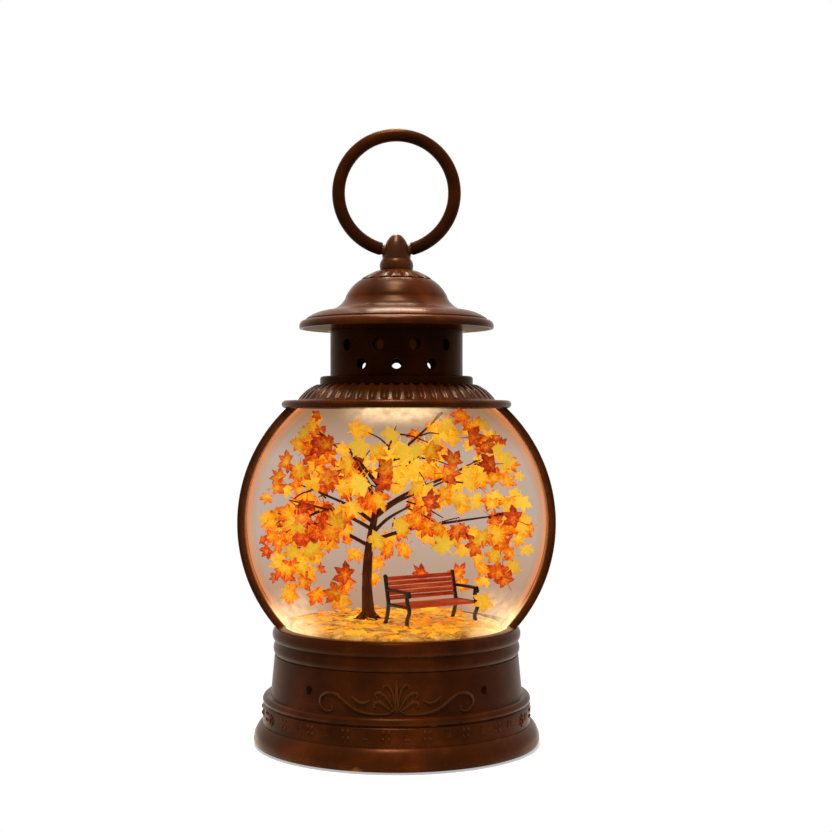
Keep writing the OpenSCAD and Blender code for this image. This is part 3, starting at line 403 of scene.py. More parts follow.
def smoothLine(points, n=5):
    ends = [2 * points[0] - points[1]] + list(points) + [2 * points[-1] - points[-2]]
    line = []
    for a, b, c, d in zip(ends, ends[1:], ends[2:], ends[3:]):
        for i in range(n):
            t = i / n
            line.append(0.5 * (2 * b + (c - a) * t + (2 * a - 5 * b + 4 * c - d) * t * t
                               + (3 * b - a - 3 * c + d) * t ** 3))
    return line + [points[-1]]


def roundOutline(radius, sides):
    return [(radius * cos(2 * pi * i / sides), radius * sin(2 * pi * i / sides)) for i in range(sides)]


def sweep(bm, outline, path, sizes, up=None):
    places = []
    if up is None:
        up = (path[-1] - path[0]).orthogonal()
    for i, point in enumerate(path):
        ahead = (path[min(i + 1, len(path) - 1)] - path[max(i - 1, 0)]).normalized()
        side = ahead.cross(up).normalized()
        place = Matrix((side, side.cross(ahead), ahead)).transposed().to_4x4() @ Matrix.Scale(sizes[i], 4)
        place.translation = point
        places.append(place)
    ringVerts = [bm.verts.new(places[0] @ Vector((x, y, 0))) for x, y in outline]
    ring = [bm.edges.new(pair) for pair in zip(ringVerts, ringVerts[1:] + ringVerts[:1])]
    bmesh.ops.edgeloop_fill(bm, edges=ring)
    for before, after in zip(places, places[1:]):
        grown = bmesh.ops.extrude_edge_only(bm, edges=ring)["geom"]
        fresh = {g for g in grown if isinstance(g, bmesh.types.BMVert)}
        ring = [g for g in grown if isinstance(g, bmesh.types.BMEdge) and set(g.verts) <= fresh]
        bmesh.ops.transform(bm, matrix=after @ before.inverted(), verts=list(fresh))
    bmesh.ops.edgeloop_fill(bm, edges=ring)


def linked(name, bm, finish):
    mesh = bpy.data.meshes.new(name)
    bm.to_mesh(mesh)
    bm.free()
    mesh.materials.append(finish)
    made = bpy.data.objects.new(name, mesh)
    scene.collection.objects.link(made)
    return made


def addPiece(name, bm, finish, body="lantern", stands=(), smooth=40):
    bmesh.ops.recalc_face_normals(bm, faces=bm.faces)
    made = linked(name, bm, finish)
    made.data.shade_smooth()
    made.data.set_sharp_from_angle(angle=radians(smooth))
    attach(made, body)
    if stands:
        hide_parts(*stands)
    return made


# a second coat on the faces that are wanted, by their radius and height
def coatFaces(piece, finish, wanted):
    piece.data.materials.append(finish)
    for face in piece.data.polygons:
        if wanted(face.center.to_2d().length / mm, face.center.z / mm):
            face.material_index = 1


# base: foot, band, skirt and two rings, turned in one piece
base = {"foot": 60.0, "footTop": 9.4, "footLow": 1.6, "footIn": 0.6, "rim": 0.8, "band": 56.2, "bandTop": 20.8,
        "bandRound": 1.9, "bandStep": 0.4, "skirtLow": 52.8, "skirtTop": 51.2, "ringLow": 37.4,
        "ringHeight": 5.8, "lowerIn": 0.4, "seam": 0.2, "groove": 51.13, "swell": 1.0, "top": 49.0, "lip": 0.5,
        "seat": 46.85, "shelf": 38.4, "shelfIn": 43.5, "shelfThick": 2, "shelfSlope": 3, "wall": 2.6,
        "plateTop": 4.2, "ledge": 1.4, "edge": 0.22, "around": 240}


def footRound():
    low = base["rim"] + base["footLow"]
    rise = base["footTop"] - low
    run = base["foot"] - base["band"] - base["footIn"]
    r = (run * run + rise * rise) / (2 * run)
    return arc(base["foot"] - r, low, r, 0, degrees(asin(rise / r)), 12)


cavity = base["band"] - base["wall"]
ringSeam = base["ringLow"] + base["ringHeight"]
bandR = base["bandRound"]
outside = ([(base["foot"] - base["footIn"], base["rim"])] + footRound()
           + [(base["band"], base["footTop"]), (base["band"], base["bandTop"] - 2 * bandR - base["bandStep"])]
           + arc(base["band"] - bandR, base["bandTop"] - bandR, bandR, -60, 90, 14)
           + [(base["skirtLow"], base["bandTop"]), (base["skirtTop"], base["ringLow"])]
           + swelling(base["groove"] - base["lowerIn"], base["swell"], base["ringLow"], ringSeam - base["seam"])
           + swelling(base["groove"], base["swell"], ringSeam, base["top"] - base["lip"])
           + [(base["groove"] - base["lip"], base["top"])])
inside = [(base["seat"], base["top"]), (base["seat"], base["shelf"]), (base["shelfIn"], base["shelf"]),
          (base["shelfIn"], base["shelf"] - base["shelfThick"]),
          (base["skirtTop"] - base["wall"], base["shelf"] - base["shelfSlope"]),
          (base["skirtLow"] - base["wall"], base["bandTop"]), (cavity, base["bandTop"] - base["wall"]),
          (cavity, base["plateTop"]), (cavity + base["ledge"], base["plateTop"]),
          (cavity + base["ledge"], base["rim"])]
bm = spun(outside + inside, base["around"])
soften(bm, base["edge"])
addPiece("baseShell", bm, bronzePaint, stands=["base_shell"], smooth=30)

# relief on the skirt: a palmette between two scrolls, by distance along the skirt from the front and height
scroll = {"wire": 0.62, "thin": 0.45, "proud": 0.05, "skirtR": 52.0, "grow": 3, "shrink": 2.2, "tail": 0.2,
          "studs": (38.1, 28.6), "studR": 1.7, "studShape": (1, 0.5, 1, 1),
          "stem": [(26.3, 23.9), (25.6, 22.7), (27.0, 21.7), (29.6, 22.2), (31.5, 24.5), (30.9, 27.2),
                   (28.2, 28.7), (24.6, 28.5), (21.0, 26.4), (17.6, 24.1), (14.0, 22.5), (10.0, 21.7),
                   (6.0, 21.6), (3.0, 22.1), (1.3, 23.3)],
          "petals": [[(0.2, 22.6), (0.4, 27.0), (0.2, 31.5), (0.0, 34.6)],
                     [(0.6, 23.5), (1.0, 27.5), (1.8, 30.8), (3.4, 32.8), (4.9, 32.5), (4.9, 31.3)],
                     [(0.9, 23.0), (2.6, 26.4), (4.8, 29.1), (7.2, 29.9), (8.3, 28.9), (7.4, 28.0)],
                     [(1.3, 22.8), (3.8, 24.6), (6.2, 26.3), (8.1, 26.1), (8.5, 24.9), (7.5, 24.3)],
                     [(17.4, 28.1), (15.2, 26.4), (12.8, 25.9), (10.4, 26.9)]]}


def onSkirt(across, z):
    share = (z - base["bandTop"]) / (base["ringLow"] - base["bandTop"])
    r = base["skirtLow"] + share * (base["skirtTop"] - base["skirtLow"]) + scroll["proud"]
    turn = across / scroll["skirtR"]
    return Vector((r * sin(turn), -r * cos(turn), z)) * mm


bm = bmesh.new()
lines = [smoothLine([Vector(p) for p in line]) for line in scroll["petals"] + [scroll["stem"]]]
for side in (-1, 1):
    for line in lines:
        path = [onSkirt(side * p[0], p[1]) for p in line]
        count = len(path) - 1
        sizes = []
        for i in range(count + 1):
            ending = scroll["shrink"] * (count - i) / count + scroll["tail"]
            sizes.append(scroll["thin"] + (1 - scroll["thin"]) * min(1, scroll["grow"] * i / count, ending))
        span = path[-1] - path[0]
        up = Vector((0, 1, 0))
        if abs(span.normalized().y) > 0.9:
            up = Vector((0, 0, 1)).cross(span).normalized()
        sweep(bm, roundOutline(scroll["wire"] * mm, 6), path, sizes, up)
addPiece("skirtScroll", bm, rubbedBronze)
# the studs take the darkest paint, a painted shade
bm = bmesh.new()
for side in (-1, 1):
    across = side * scroll["studs"][0]
    place = Matrix.Translation(onSkirt(across, scroll["studs"][1])) @ turned(across / scroll["skirtR"], "Z")
    ball(bm, scroll["studR"], place @ Matrix.Diagonal(scroll["studShape"]), 12, 8)
addPiece("skirtStuds", bm, paintedShadeBronze)

# frieze on the band: square bosses and groups of four beads, with four rosettes
frieze = {"z": 14.2, "count": 44, "bead": 0.75, "beadSunk": 0.2, "beadUp": 1.3, "beadAlong": 1.1, "boss": 2.2,
          "bossSunk": 0.65, "bossShape": (1, 0.8, 1.4, 1), "frame": 0.45, "dish": 0.3, "clear": 5,
          "rosettes": (64.5, 115.5, 244.5, 295.5), "petals": 8, "petal": 1.0, "petalShape": (1, 0.5, 0.62, 1),
          "petalRing": 1.7, "drop": 0.6, "eye": 0.9, "eyeProud": 0.15}


def onBand(turn, z, proud=0.0):
    r = base["band"] + proud
    return at(r * sin(turn), -r * cos(turn), z) @ turned(turn, "Z")


bm = bmesh.new()
for i in range(frieze["count"]):
    turn = (i + 0.5) * 2 * pi / frieze["count"]
    if min(abs(degrees(turn) - r) for r in frieze["rosettes"]) < frieze["clear"]:
        continue
    if i % 2:
        for up in (-frieze["beadUp"], frieze["beadUp"]):
            for along in (-frieze["beadAlong"], frieze["beadAlong"]):
                place = onBand(turn + along / base["band"], frieze["z"] + up, -frieze["beadSunk"])
                ball(bm, frieze["bead"], place, 8, 5)
    else:
        place = onBand(turn, frieze["z"], -frieze["bossSunk"] * frieze["boss"] / 2)
        made = bmesh.ops.create_cube(bm, size=frieze["boss"] * mm,
                                     matrix=place @ Matrix.Diagonal(frieze["bossShape"]))["verts"]
        outward = Vector((sin(turn), -cos(turn), 0))
        front = [f for f in {f for v in made for f in v.link_faces} if f.normal.dot(outward) > 0.9]
        bmesh.ops.inset_region(bm, faces=front, thickness=frieze["frame"] * mm, depth=-frieze["dish"] * mm)
for degree in frieze["rosettes"]:
    turn, z = radians(degree), frieze["z"] - frieze["drop"]
    for k in range(frieze["petals"]):
        a = 2 * pi * k / frieze["petals"]
        place = onBand(turn + frieze["petalRing"] * cos(a) / base["band"], z + frieze["petalRing"] * sin(a))
        ball(bm, frieze["petal"], place @ turned(-a, "Y") @ Matrix.Diagonal(frieze["petalShape"]), 8, 6)
    ball(bm, frieze["eye"], onBand(turn, z, frieze["eyeProud"]), 10, 6)
addPiece("bandFrieze", bm, stampedBronze)
print("base, scroll and frieze made")

# straps on both sides of the ball, bent a little too long and cut off level
strap = {"inside": 63.65, "outside": 66.85, "width": 10.0, "round": 0.9, "middle": 91.949, "low": 49.0,
         "high": 140.137, "start": 50, "bend": 104, "steps": 72}
strapMid = (0, 0, strap["middle"] * mm)
for side, name, stood in ((1, "strapRight", "strap_right"), (-1, "strapLeft", "strap_left")):
    bm = bmesh.new()
    half, corner = strap["width"] / 2, strap["round"]
    outline = ([(strap["inside"], -half)] + arc(strap["outside"] - corner, -half + corner, corner, -90, 0, 4)
               + arc(strap["outside"] - corner, half - corner, corner, 0, 90, 4) + [(strap["inside"], half)])
    line = [bm.verts.new((r * mm, y * mm, strap["middle"] * mm)) for r, y in outline]
    edges = [bm.edges.new(pair) for pair in zip(line, line[1:] + line[:1])]
    bmesh.ops.rotate(bm, verts=line, cent=strapMid, matrix=Matrix.Rotation(radians(strap["start"]), 3, "Y"))
    bmesh.ops.spin(bm, geom=line + edges, axis=(0, -1, 0), cent=strapMid, angle=radians(strap["bend"]),
                   steps=strap["steps"])
    for z, up in ((strap["low"], -1), (strap["high"], 1)):
        everything = bm.verts[:] + bm.edges[:] + bm.faces[:]
        bmesh.ops.bisect_plane(bm, geom=everything, dist=1e-7, plane_co=(0, 0, z * mm), plane_no=(0, 0, up),
                               clear_outer=True)
    bmesh.ops.holes_fill(bm, edges=bm.edges, sides=0)
    if side < 0:
        bmesh.ops.rotate(bm, verts=bm.verts, cent=(0, 0, 0), matrix=Matrix.Rotation(pi, 3, "Z"))
    addPiece(name, bm, bronzePaint, stands=[stood], smooth=50)

# shoulder: round lip, ledge and a swelling cone of flutes
shoulder = {"lipZ": 140.137, "lipH": 3.3, "lip": 48.334, "lipIn": 41.396, "low": 41.734, "high": 33.8,
            "top": 150.037, "swell": 0.8, "spigot": 27.4, "deck": 2.2, "deckIn": 33.32, "thick": 3.13,
            "flutes": 52, "cutter": 1.7, "depth": 0.9, "startAfter": 2, "runIn": 0.1, "perFlute": 12,
            "rows": 16, "overrun": 0.5, "offCone": 0.03, "coatIn": 1, "coatGap": 0.05}
lipTop, lipR = shoulder["lipZ"] + shoulder["lipH"], shoulder["lipH"] / 2
run, rise = shoulder["low"] - shoulder["high"], shoulder["top"] - lipTop
chord = sqrt(run * run + rise * rise)
coneR = (chord * chord / 4 + shoulder["swell"] ** 2) / (2 * shoulder["swell"])
coneX = (shoulder["low"] + shoulder["high"]) / 2 - (coneR - shoulder["swell"]) * rise / chord
coneZ = lipTop + rise / 2 - (coneR - shoulder["swell"]) * run / chord
coneFrom = degrees(atan2(lipTop - coneZ, shoulder["low"] - coneX))
coneTo = degrees(atan2(shoulder["top"] - coneZ, shoulder["high"] - coneX))
deckLow = shoulder["top"] - shoulder["deck"]
bm = spun([(shoulder["lipIn"], shoulder["lipZ"])]
          + arc(shoulder["lip"] - lipR, shoulder["lipZ"] + lipR, lipR, -90, 90, 12)
          + arc(coneX, coneZ, coneR, coneFrom, coneTo, shoulder["rows"])
          + [(shoulder["spigot"], shoulder["top"]), (shoulder["spigot"], deckLow),
             (shoulder["deckIn"], deckLow), (shoulder["low"] - shoulder["thick"], lipTop),
             (shoulder["lipIn"], lipTop - lipR)],
          shoulder["flutes"] * shoulder["perFlute"])
pitch = 2 * pi / shoulder["flutes"]
for v in bm.verts:
    r, z = v.co.xy.length / mm, v.co.z / mm
    lean = degrees(atan2(z - coneZ, r - coneX))
    up = (lean - coneFrom - shoulder["startAfter"]) / (coneTo - coneFrom)
    offCone = abs(sqrt((r - coneX) ** 2 + (z - coneZ) ** 2) - coneR)
    if up < 0 or lean > coneTo + shoulder["overrun"] or offCone > shoulder["offCone"]:
        continue
    off = abs((atan2(v.co.y, v.co.x) / pitch + 0.5) % 1 - 0.5) * pitch * r
    within = shoulder["cutter"] ** 2 - off * off
    if within > 0:
        fadeIn = min(1, (up / shoulder["runIn"]) ** 0.5)
        cut = max(0, sqrt(within) - shoulder["cutter"] + shoulder["depth"]) * fadeIn
        tilt = radians(lean)
        v.co -= Vector((cos(tilt) * v.co.x / r / mm, cos(tilt) * v.co.y / r / mm, sin(tilt))) * cut * mm
coneShell = addPiece("flutedShoulder", bm, bronzePaint, stands=["shoulder"], smooth=50)
coatIn, coatTop = shoulder["high"] - shoulder["coatIn"], shoulder["top"] - shoulder["coatGap"]
coatFaces(coneShell, polishedBronze, lambda r, z: r > coatIn and lipTop < z < coatTop)

# cap: rolled lip, groove, wide brim and ogee bell; each curve is its middle's distance in from the brim and its
# height, or depth under the top, then radius, two angles and count
cap = {"z": 172.437, "height": 21.8, "brim": 41.0, "brimIn": 1.6, "roll": 2.5, "rollMid": 2.2, "low": 1.1,
       "bore": 25.2, "chimney": 27.9, "wall": 2.0, "spigot": 9.4, "stem": 2.5, "seat": 10.56, "collar": 14.4,
       "wallTop": 13, "flat": 1, "groove": (0.15, 0.25), "rollArc": (-26, 80, 12),
       "brimCurve": (13.29, -8.62, 17.45, 53.5, 84.3, 16), "bell": (10.7, 3.3, 9.8, 265, 207, 18),
       "crown": (34.1, 13.6, 15.9, 24.5, 57.4, 16), "bellIn": (11.8, 209, 232, 8), "crownIn": (13.9, 54, 26, 8),
       "around": 192}
bell = (cap["brim"] - cap["bell"][0], cap["height"] - cap["bell"][1])
crown = (cap["brim"] - cap["crown"][0], cap["height"] - cap["crown"][1])
rollX, ceiling, boreIn = cap["brim"] - cap["roll"], cap["height"] - cap["wall"], cap["bore"] - cap["wall"]
hood = (arc(rollX, cap["rollMid"], cap["roll"], *cap["rollArc"])
        + [(rollX - cap["groove"][0], cap["rollMid"] + cap["roll"] - cap["groove"][1])]
        + arc(cap["brim"] - cap["brimCurve"][0], *cap["brimCurve"][1:]) + arc(*bell, *cap["bell"][2:])[1:]
        + arc(*crown, *cap["crown"][2:]))
underside = [(cap["bore"], -cap["spigot"]), (cap["bore"], 0), (cap["chimney"] + cap["flat"], 0),
             (cap["brim"] - cap["brimIn"], cap["low"])]
top = [(cap["collar"], cap["height"]), (cap["stem"], cap["height"]), (cap["stem"], ceiling),
       (cap["seat"], ceiling)]
hollow = (arc(*crown, *cap["crownIn"]) + arc(*bell, *cap["bellIn"])
          + [(boreIn, cap["height"] - cap["wallTop"]), (boreIn, -cap["spigot"])])
bm = spun(lifted(underside + hood + top + hollow, cap["z"]), cap["around"])
hoodShell = addPiece("hoodCap", bm, bronzePaint, stands=["cap"], smooth=28)
coatFaces(hoodShell, brimBronze,
          lambda r, z: cap["chimney"] < r < cap["brim"] - cap["brimIn"] and -0.1 < z - cap["z"] < cap["low"])

# collar: barrel neck over a skirt of round lobes
collar = {"z": 194.237, "skirt": 14.8, "skirtH": 4.5, "skirtIn": 0.4, "edge": 0.5, "run": 5.1, "rise": 2.8,
          "hollow": 0.82, "neck": 7.1, "neckH": 4.0, "foot": (1.0, 3.82), "groove": (0.5, 0.15), "barrel": 1.1,
          "barrelMid": 0.35, "barrelArc": (-18.6, 36.2, 12), "stem": 2.5, "lobes": 16, "perLobe": 16,
          "notch": 1.0, "dip": 0.7, "dipFrom": 0.2, "lobeIn": 8.4, "lobeTop": 4.2, "fade": 4}
neckTop, barrelR = collar["skirtH"] + collar["neckH"], collar["barrel"] * collar["neckH"]
barrelZ = collar["skirtH"] + collar["barrelMid"] * collar["neckH"]
lobeRise = [(collar["skirt"] - collar["run"] * t, collar["edge"] + collar["rise"] * t ** collar["hollow"])
            for t in steps(0, 1, 10)]
neck = ([(collar["neck"] + collar["foot"][0], collar["foot"][1]),
         (collar["neck"] - collar["groove"][0], collar["skirtH"] - collar["groove"][1])]
        + arc(collar["neck"] - barrelR, barrelZ, barrelR, *collar["barrelArc"]) + [(collar["stem"], neckTop)])
under = [(collar["stem"], 0), (collar["skirt"] - collar["skirtIn"], 0)]
bm = spun(lifted(under + lobeRise + neck, collar["z"]), collar["lobes"] * collar["perLobe"])
for v in bm.verts:
    r, z = v.co.xy.length / mm, v.co.z / mm - collar["z"]
    if r < collar["lobeIn"] or z > collar["lobeTop"]:
        continue
    turn = (atan2(v.co.y, v.co.x) / (2 * pi / collar["lobes"]) + 0.5) % 1 - 0.5
    valley = (1 - sqrt(max(0, 1 - (2 * turn) ** 2))) * min(1, (r - collar["lobeIn"]) / collar["fade"])
    v.co.x *= 1 - collar["notch"] * valley / r
    v.co.y *= 1 - collar["notch"] * valley / r
    if z > collar["dipFrom"]:
        v.co.z -= collar["dip"] * valley * mm * min(1, z)
addPiece("scallopCollar", bm, polishedBronze, stands=["scallop_collar"], smooth=45)

# finial: blunt bullet with a boss on each side, where the ring's ends come in
finial = {"z": 202.737, "r": 6.0, "height": 11.0, "pivot": 3.8, "boss": 5.45, "bossEdge": 0.3, "blunt": 1.8,
          "rows": 24, "around": 96}
nose = []
for i in range(finial["rows"]):
    t = sin(radians(90 / finial["rows"] * i))
    nose.append((finial["r"] * sqrt(max(1 - t ** finial["blunt"], 0)), finial["height"] * t))
bm = spun(lifted([(0, 0)] + nose + [(0, finial["height"])], finial["z"]), finial["around"], closed=False)
boss = crossRod(bm, finial["boss"] / 2, 2 * finial["r"], at(0, 0, finial["z"] + finial["pivot"]), 40)
bossEnds = [e for e in {e for v in boss for e in v.link_edges} if e.calc_face_angle(0) > 1]
rounded(bm, bossEnds, finial["bossEdge"])
addPiece("finialKnob", bm, polishedBronze, stands=["finial"])

# ring: round wire, open at the finial, on two pins
ring = {"pivot": 206.537, "middle": 231.012, "r": 24.475, "wire": 5.45, "gap": 6.35, "edge": 0.12, "pin": 3.0,
        "pinLength": 5.85, "pinMiddle": 4.43, "steps": 120}
bm = bmesh.new()
start = asin(ring["gap"] / ring["r"])
hoopStart = at(0, 0, ring["middle"]) @ turned(start, "Y") @ at(0, 0, -ring["r"]) @ turned(pi / 2, "Y")
hoop = bmesh.ops.create_circle(bm, segments=28, radius=ring["wire"] / 2 * mm, matrix=hoopStart)["verts"]
bmesh.ops.spin(bm, geom=hoop + list({e for v in hoop for e in v.link_edges}), axis=(0, 1, 0),
               cent=(0, 0, ring["middle"] * mm), angle=2 * pi - 2 * start, steps=ring["steps"])
bmesh.ops.holes_fill(bm, edges=bm.edges, sides=0)
bmesh.ops.recalc_face_normals(bm, faces=bm.faces)
soften(bm, ring["edge"], 60)
for side in (-1, 1):
    crossRod(bm, ring["pin"] / 2, ring["pinLength"], at(side * ring["pinMiddle"], 0, ring["pivot"]), 20)
addPiece("ringHandle", bm, darkBronze, body="ring", stands=["ring_handle"])
print("straps, shoulder, cap, collar, finial and ring made")

# globe: one thin skin, with its neck in the base and its flat crown under the shoulder
globe = {"r": 63.3, "middle": 91.949, "neck": 46.5, "neckZ": 40.0, "crown": 36.4, "rows": 80, "around": 160}
lowAngle = degrees(atan2(base["top"] - globe["middle"], globe["neck"]))
highAngle = degrees(atan2(sqrt(globe["r"] ** 2 - globe["crown"] ** 2), globe["crown"]))
bm = spun([(0, globe["neckZ"]), (globe["neck"], globe["neckZ"])]
          + arc(0, globe["middle"], globe["r"], lowAngle, highAngle, globe["rows"])
          + [(0, globe["middle"] + globe["r"] * sin(radians(highAngle)))], globe["around"], closed=False)
addPiece("globeBall", bm, globeGlass, stands=["globe"], smooth=30)

# ground: uneven mound of litter; the bumps are height and fineness
ground = {"r": 43.9, "top": 50.6, "under": 46.4, "edge": 49.0, "flat": 37.9, "edgeRows": 6, "rows": 14,
          "around": 120, "bumps": ((0.55, 160), (0.25, 420))}
rim, dome = ground["r"] - ground["flat"], ground["top"] - ground["edge"]
shape = [(0, ground["under"]), (ground["r"], ground["under"])]
for i in range(ground["edgeRows"] + 1):
    up = i / ground["edgeRows"]
    shape.append((ground["r"] - rim * i / ground["edgeRows"], ground["edge"] + dome * sin(radians(90 * up))))
shape += [(ground["flat"] * (1 - i / ground["rows"]), ground["top"]) for i in range(1, ground["rows"] + 1)]
bm = spun(shape, ground["around"], closed=False)
for v in bm.verts:
    if v.co.z > (ground["edge"] + 0.1) * mm:
        v.co.z += sum(tall * noise.noise(v.co * fine) for tall, fine in ground["bumps"]) * mm
addPiece("litterMound", bm, litterGround, stands=["ground"], smooth=80)


# the same scattered numbers as the solids have, each from its own seed
def chance(seed, lo, hi):
    n = 43758.5453 * sin(radians(78.233 * seed))
    return lo + (hi - lo) * (n - floor(n))


def sway(seed, most):
    return chance(seed, -most, most)


# one maple leaf, domed on both faces, its middle at the origin
def leafShape():
    bm = bmesh.new()
    half = [(r * cos(radians(a)), r * sin(radians(a))) for r, a in leaf["half"]]
    outline = half + [(0, 1)] + [(-x, y) for x, y in reversed(half)]
    for side in (1, -1):
        verts = [bm.verts.new((x * leaf["size"] * mm, y * leaf["size"] * mm, 0)) for x, y in outline]
        face = bm.faces.new(verts[::side])
        bm.normal_update()
        bmesh.ops.poke(bm, faces=[face], offset=leaf["thick"] / 2 * mm, center_mode="MEAN")
    bmesh.ops.remove_doubles(bm, verts=bm.verts, dist=0.01 * mm)
    mesh = bpy.data.meshes.new("leafShape")
    bm.to_mesh(mesh)
    bm.free()
    return mesh


leafMesh = leafShape()


# each leaf of a cluster has a place, a tone and a curl
def leafCluster(name, places, finish, stands=()):
    bm = bmesh.new()
    flat = bm.verts.layers.float_vector.new("flat")
    tone = bm.verts.layers.float.new("tone")
    curlX, curlY = leaf["curl"]
    for place, shade, curl in places:
        start = len(bm.verts)
        bm.from_mesh(leafMesh)
        bm.verts.ensure_lookup_table()
        verts = bm.verts[start:]
        for v in verts:
            own = v.co / (leaf["size"] * mm)
            v[flat] = own
            v[tone] = shade
            v.co.z += curl * (own.x * own.x * curlX + own.y * own.y * curlY) * leaf["size"] * mm
        bmesh.ops.transform(bm, matrix=place, verts=verts)
    return addPiece(name, bm, finish, stands=stands, smooth=60)


def laid(reach, turn, z, yaw, tilt, roll=0.0, size=1.0):
    place = at(reach * cos(turn), reach * sin(turn), z) @ turned(yaw, "Z") @ turned(tilt, "X")
    return place @ turned(roll, "Z") @ Matrix.Scale(size, 4)


# tree: the trunk and each branch's start, heading and rise are those of the solids
tree = {"at": (-12.0, 5.0), "radius": 2.5, "twig": 17.0, "ground": 50.6, "ballIn": 61.3, "ceiling": 141.737,
        "trunk": [(0, 0, 0), (-0.6, 0, 16), (0.4, 0, 31), (2.6, 0, 43), (4, 0, 56), (6, 0, 72)],
        "branches": [(31, 186, 20), (33, -22, 12), (36, 60, 16), (38, -140, 18), (41, 150, 22), (43, -52, 20),
                     (45, 16, 24), (48, -104, 32), (50, 112, 32), (52, 44, 34), (55, -76, 40), (57, 190, 42),
                     (60, -20, 44)],
        "bends": (0.28, 0.62), "nearBow": 1.8, "farBow": (0.24, 1.68), "shares": (0.4, 0.65, 0.85),
        "twigTurn": (34, 52), "twigLift": (-58, 14), "twigBow": 0.84, "knot": 0.1, "knotFine": 0.35,
        "sunk": 0.6, "flare": 2.5, "roots": 5, "rootTurn": 0.4, "rootLine": [(0, 4.2), (1.3, 1.2), (2.5, -0.3)],
        "trunkTaper": (1.75, 1.12, 0.85, 0.7, 0.55, 0.4, 0.25), "rootTaper": (0.6, 0.42, 0.12),
        "branchTaper": (0.36, 0.28, 0.2, 0.1), "twigTaper": (0.17, 0.13, 0.08)}  # shares of the radius
trunk = [Vector((tree["at"][0] + x, tree["at"][1] + y, tree["ground"] + z)) for x, y, z in tree["trunk"]]
glassGap, ceilingGap = 1.65 * leaf["size"] + 1, 3.0
middle = Vector((0, 0, globe["middle"]))


def heading(turn, lift):
    t, l = radians(turn), radians(lift)
    return Vector((cos(t) * cos(l), sin(t) * cos(l), sin(l)))


def room(point, way):
    away = point - middle
    b = away.dot(way)
    c = away.dot(away) - (tree["ballIn"] - glassGap) ** 2
    top = (tree["ceiling"] - ceilingGap - point.z) / way.z if way.z > 0.05 else tree["ballIn"]
    return min(-b + sqrt(max(b * b - c, 0)), top)


def trunkAt(h):
    z = tree["ground"] + h
    i = next(k for k in range(len(trunk) - 1) if trunk[k + 1].z >= z)
    return trunk[i].lerp(trunk[i + 1], (z - trunk[i].z) / (trunk[i + 1].z - trunk[i].z))


def branchAt(b, share):
    h, turn, lift = tree["branches"][b]
    start, way = trunkAt(h), heading(turn, lift)
    return start + share * room(start, way) * way


def twigAt(b, k, share):
    turn, lift = tree["branches"][b][1:]
    side = 1 if k % 2 == 0 else -1
    way = heading(turn + side * chance(9 * b + k, *tree["twigTurn"]),
                  lift + chance(7 * b + k + 50, *tree["twigLift"]))
    start = branchAt(b, tree["shares"][k])
    return start + share * min(tree["twig"], room(start, way)) * way


def limb(bm, points, taper, sides):
    radii = [share * tree["radius"] for share in taper]
    line = smoothLine(points)
    count = len(line) - 1
    widths = []
    for i in range(count + 1):
        along = i / count * (len(radii) - 1)
        k = min(int(along), len(radii) - 2)
        knot = 1 + tree["knot"] * noise.noise(line[i] * tree["knotFine"])
        widths.append((radii[k] + (radii[k + 1] - radii[k]) * (along - k)) * knot)
    sweep(bm, roundOutline(mm, sides), [p * mm for p in line], widths)


def above(height):
    return Vector((0, 0, height))


bm = bmesh.new()
foot = trunk[0]
limb(bm, [foot - above(tree["sunk"]), foot + above(tree["flare"])] + trunk[1:], tree["trunkTaper"], 16)
for k in range(tree["roots"]):
    turn = 2 * pi * k / tree["roots"] + tree["rootTurn"]
    out = Vector((cos(turn), sin(turn), 0))
    root = [foot + out * reach * tree["radius"] + above(up) for reach, up in tree["rootLine"]]
    limb(bm, root, tree["rootTaper"], 8)
near, far = tree["bends"]
for b in range(len(tree["branches"])):
    branch = [branchAt(b, 0), branchAt(b, near) + above(tree["nearBow"]),
              branchAt(b, far) + above(chance(b + 90, *tree["farBow"])), branchAt(b, 1)]
    limb(bm, branch, tree["branchTaper"], 8)
    for k in range(len(tree["shares"])):
        twig = [twigAt(b, k, 0), twigAt(b, k, 0.5) + above(tree["twigBow"]), twigAt(b, k, 1)]
        limb(bm, twig, tree["twigTaper"], 6)
addPiece("mapleTrunk", bm, bark, stands=["tree_trunk"], smooth=70)

# hung leaves: redder on the left, yellower in the middle of the crown
hang = {"size": (0.84, 1.04), "along": (0.2, 0.45, 0.75, 1), "tone": (0.0, 0.72), "toneLimits": (0.02, 0.95),
        "leftOf": -14, "redder": 0.22, "crownX": 20, "crownZ": 112, "yellower": 0.25, "yaw": 55, "nod": 35,
        "swing": 60, "curl": 0.22}


def hungLeaf(point, seed):
    yaw = sway(seed + 1, hang["yaw"]) + (0 if seed % 2 == 0 else 180)
    face = turned(radians(yaw), "Z") @ turned(radians(90 + sway(seed, hang["nod"])), "X")
    swing = turned(radians(180 + sway(seed + 2, hang["swing"])), "Z") @ at(0, leaf["stalk"] * leaf["size"], 0)
    place = at(*point) @ face @ Matrix.Scale(chance(seed + 3, *hang["size"]), 4) @ swing
    yellow = hang["yellower"] if abs(point.x) < hang["crownX"] and point.z > hang["crownZ"] else 0
    shade = chance(seed + 4, *hang["tone"]) + hang["redder"] * (point.x < hang["leftOf"]) - yellow
    low, high = hang["toneLimits"]
    return place, min(high, max(low, shade)), sway(seed + 5, hang["curl"])


hung = []
for b in range(len(tree["branches"])):
    hung.append(hungLeaf(branchAt(b, 1), 1000 + 31 * b))
    for k in range(len(tree["shares"])):
        for s in hang["along"]:
            hung.append(hungLeaf(twigAt(b, k, s), 100 * b + 10 * k + floor(7 * s + 0.5)))
leafCluster("mapleLeaves", hung, autumnLeaf, stands=["tree_leaves"])

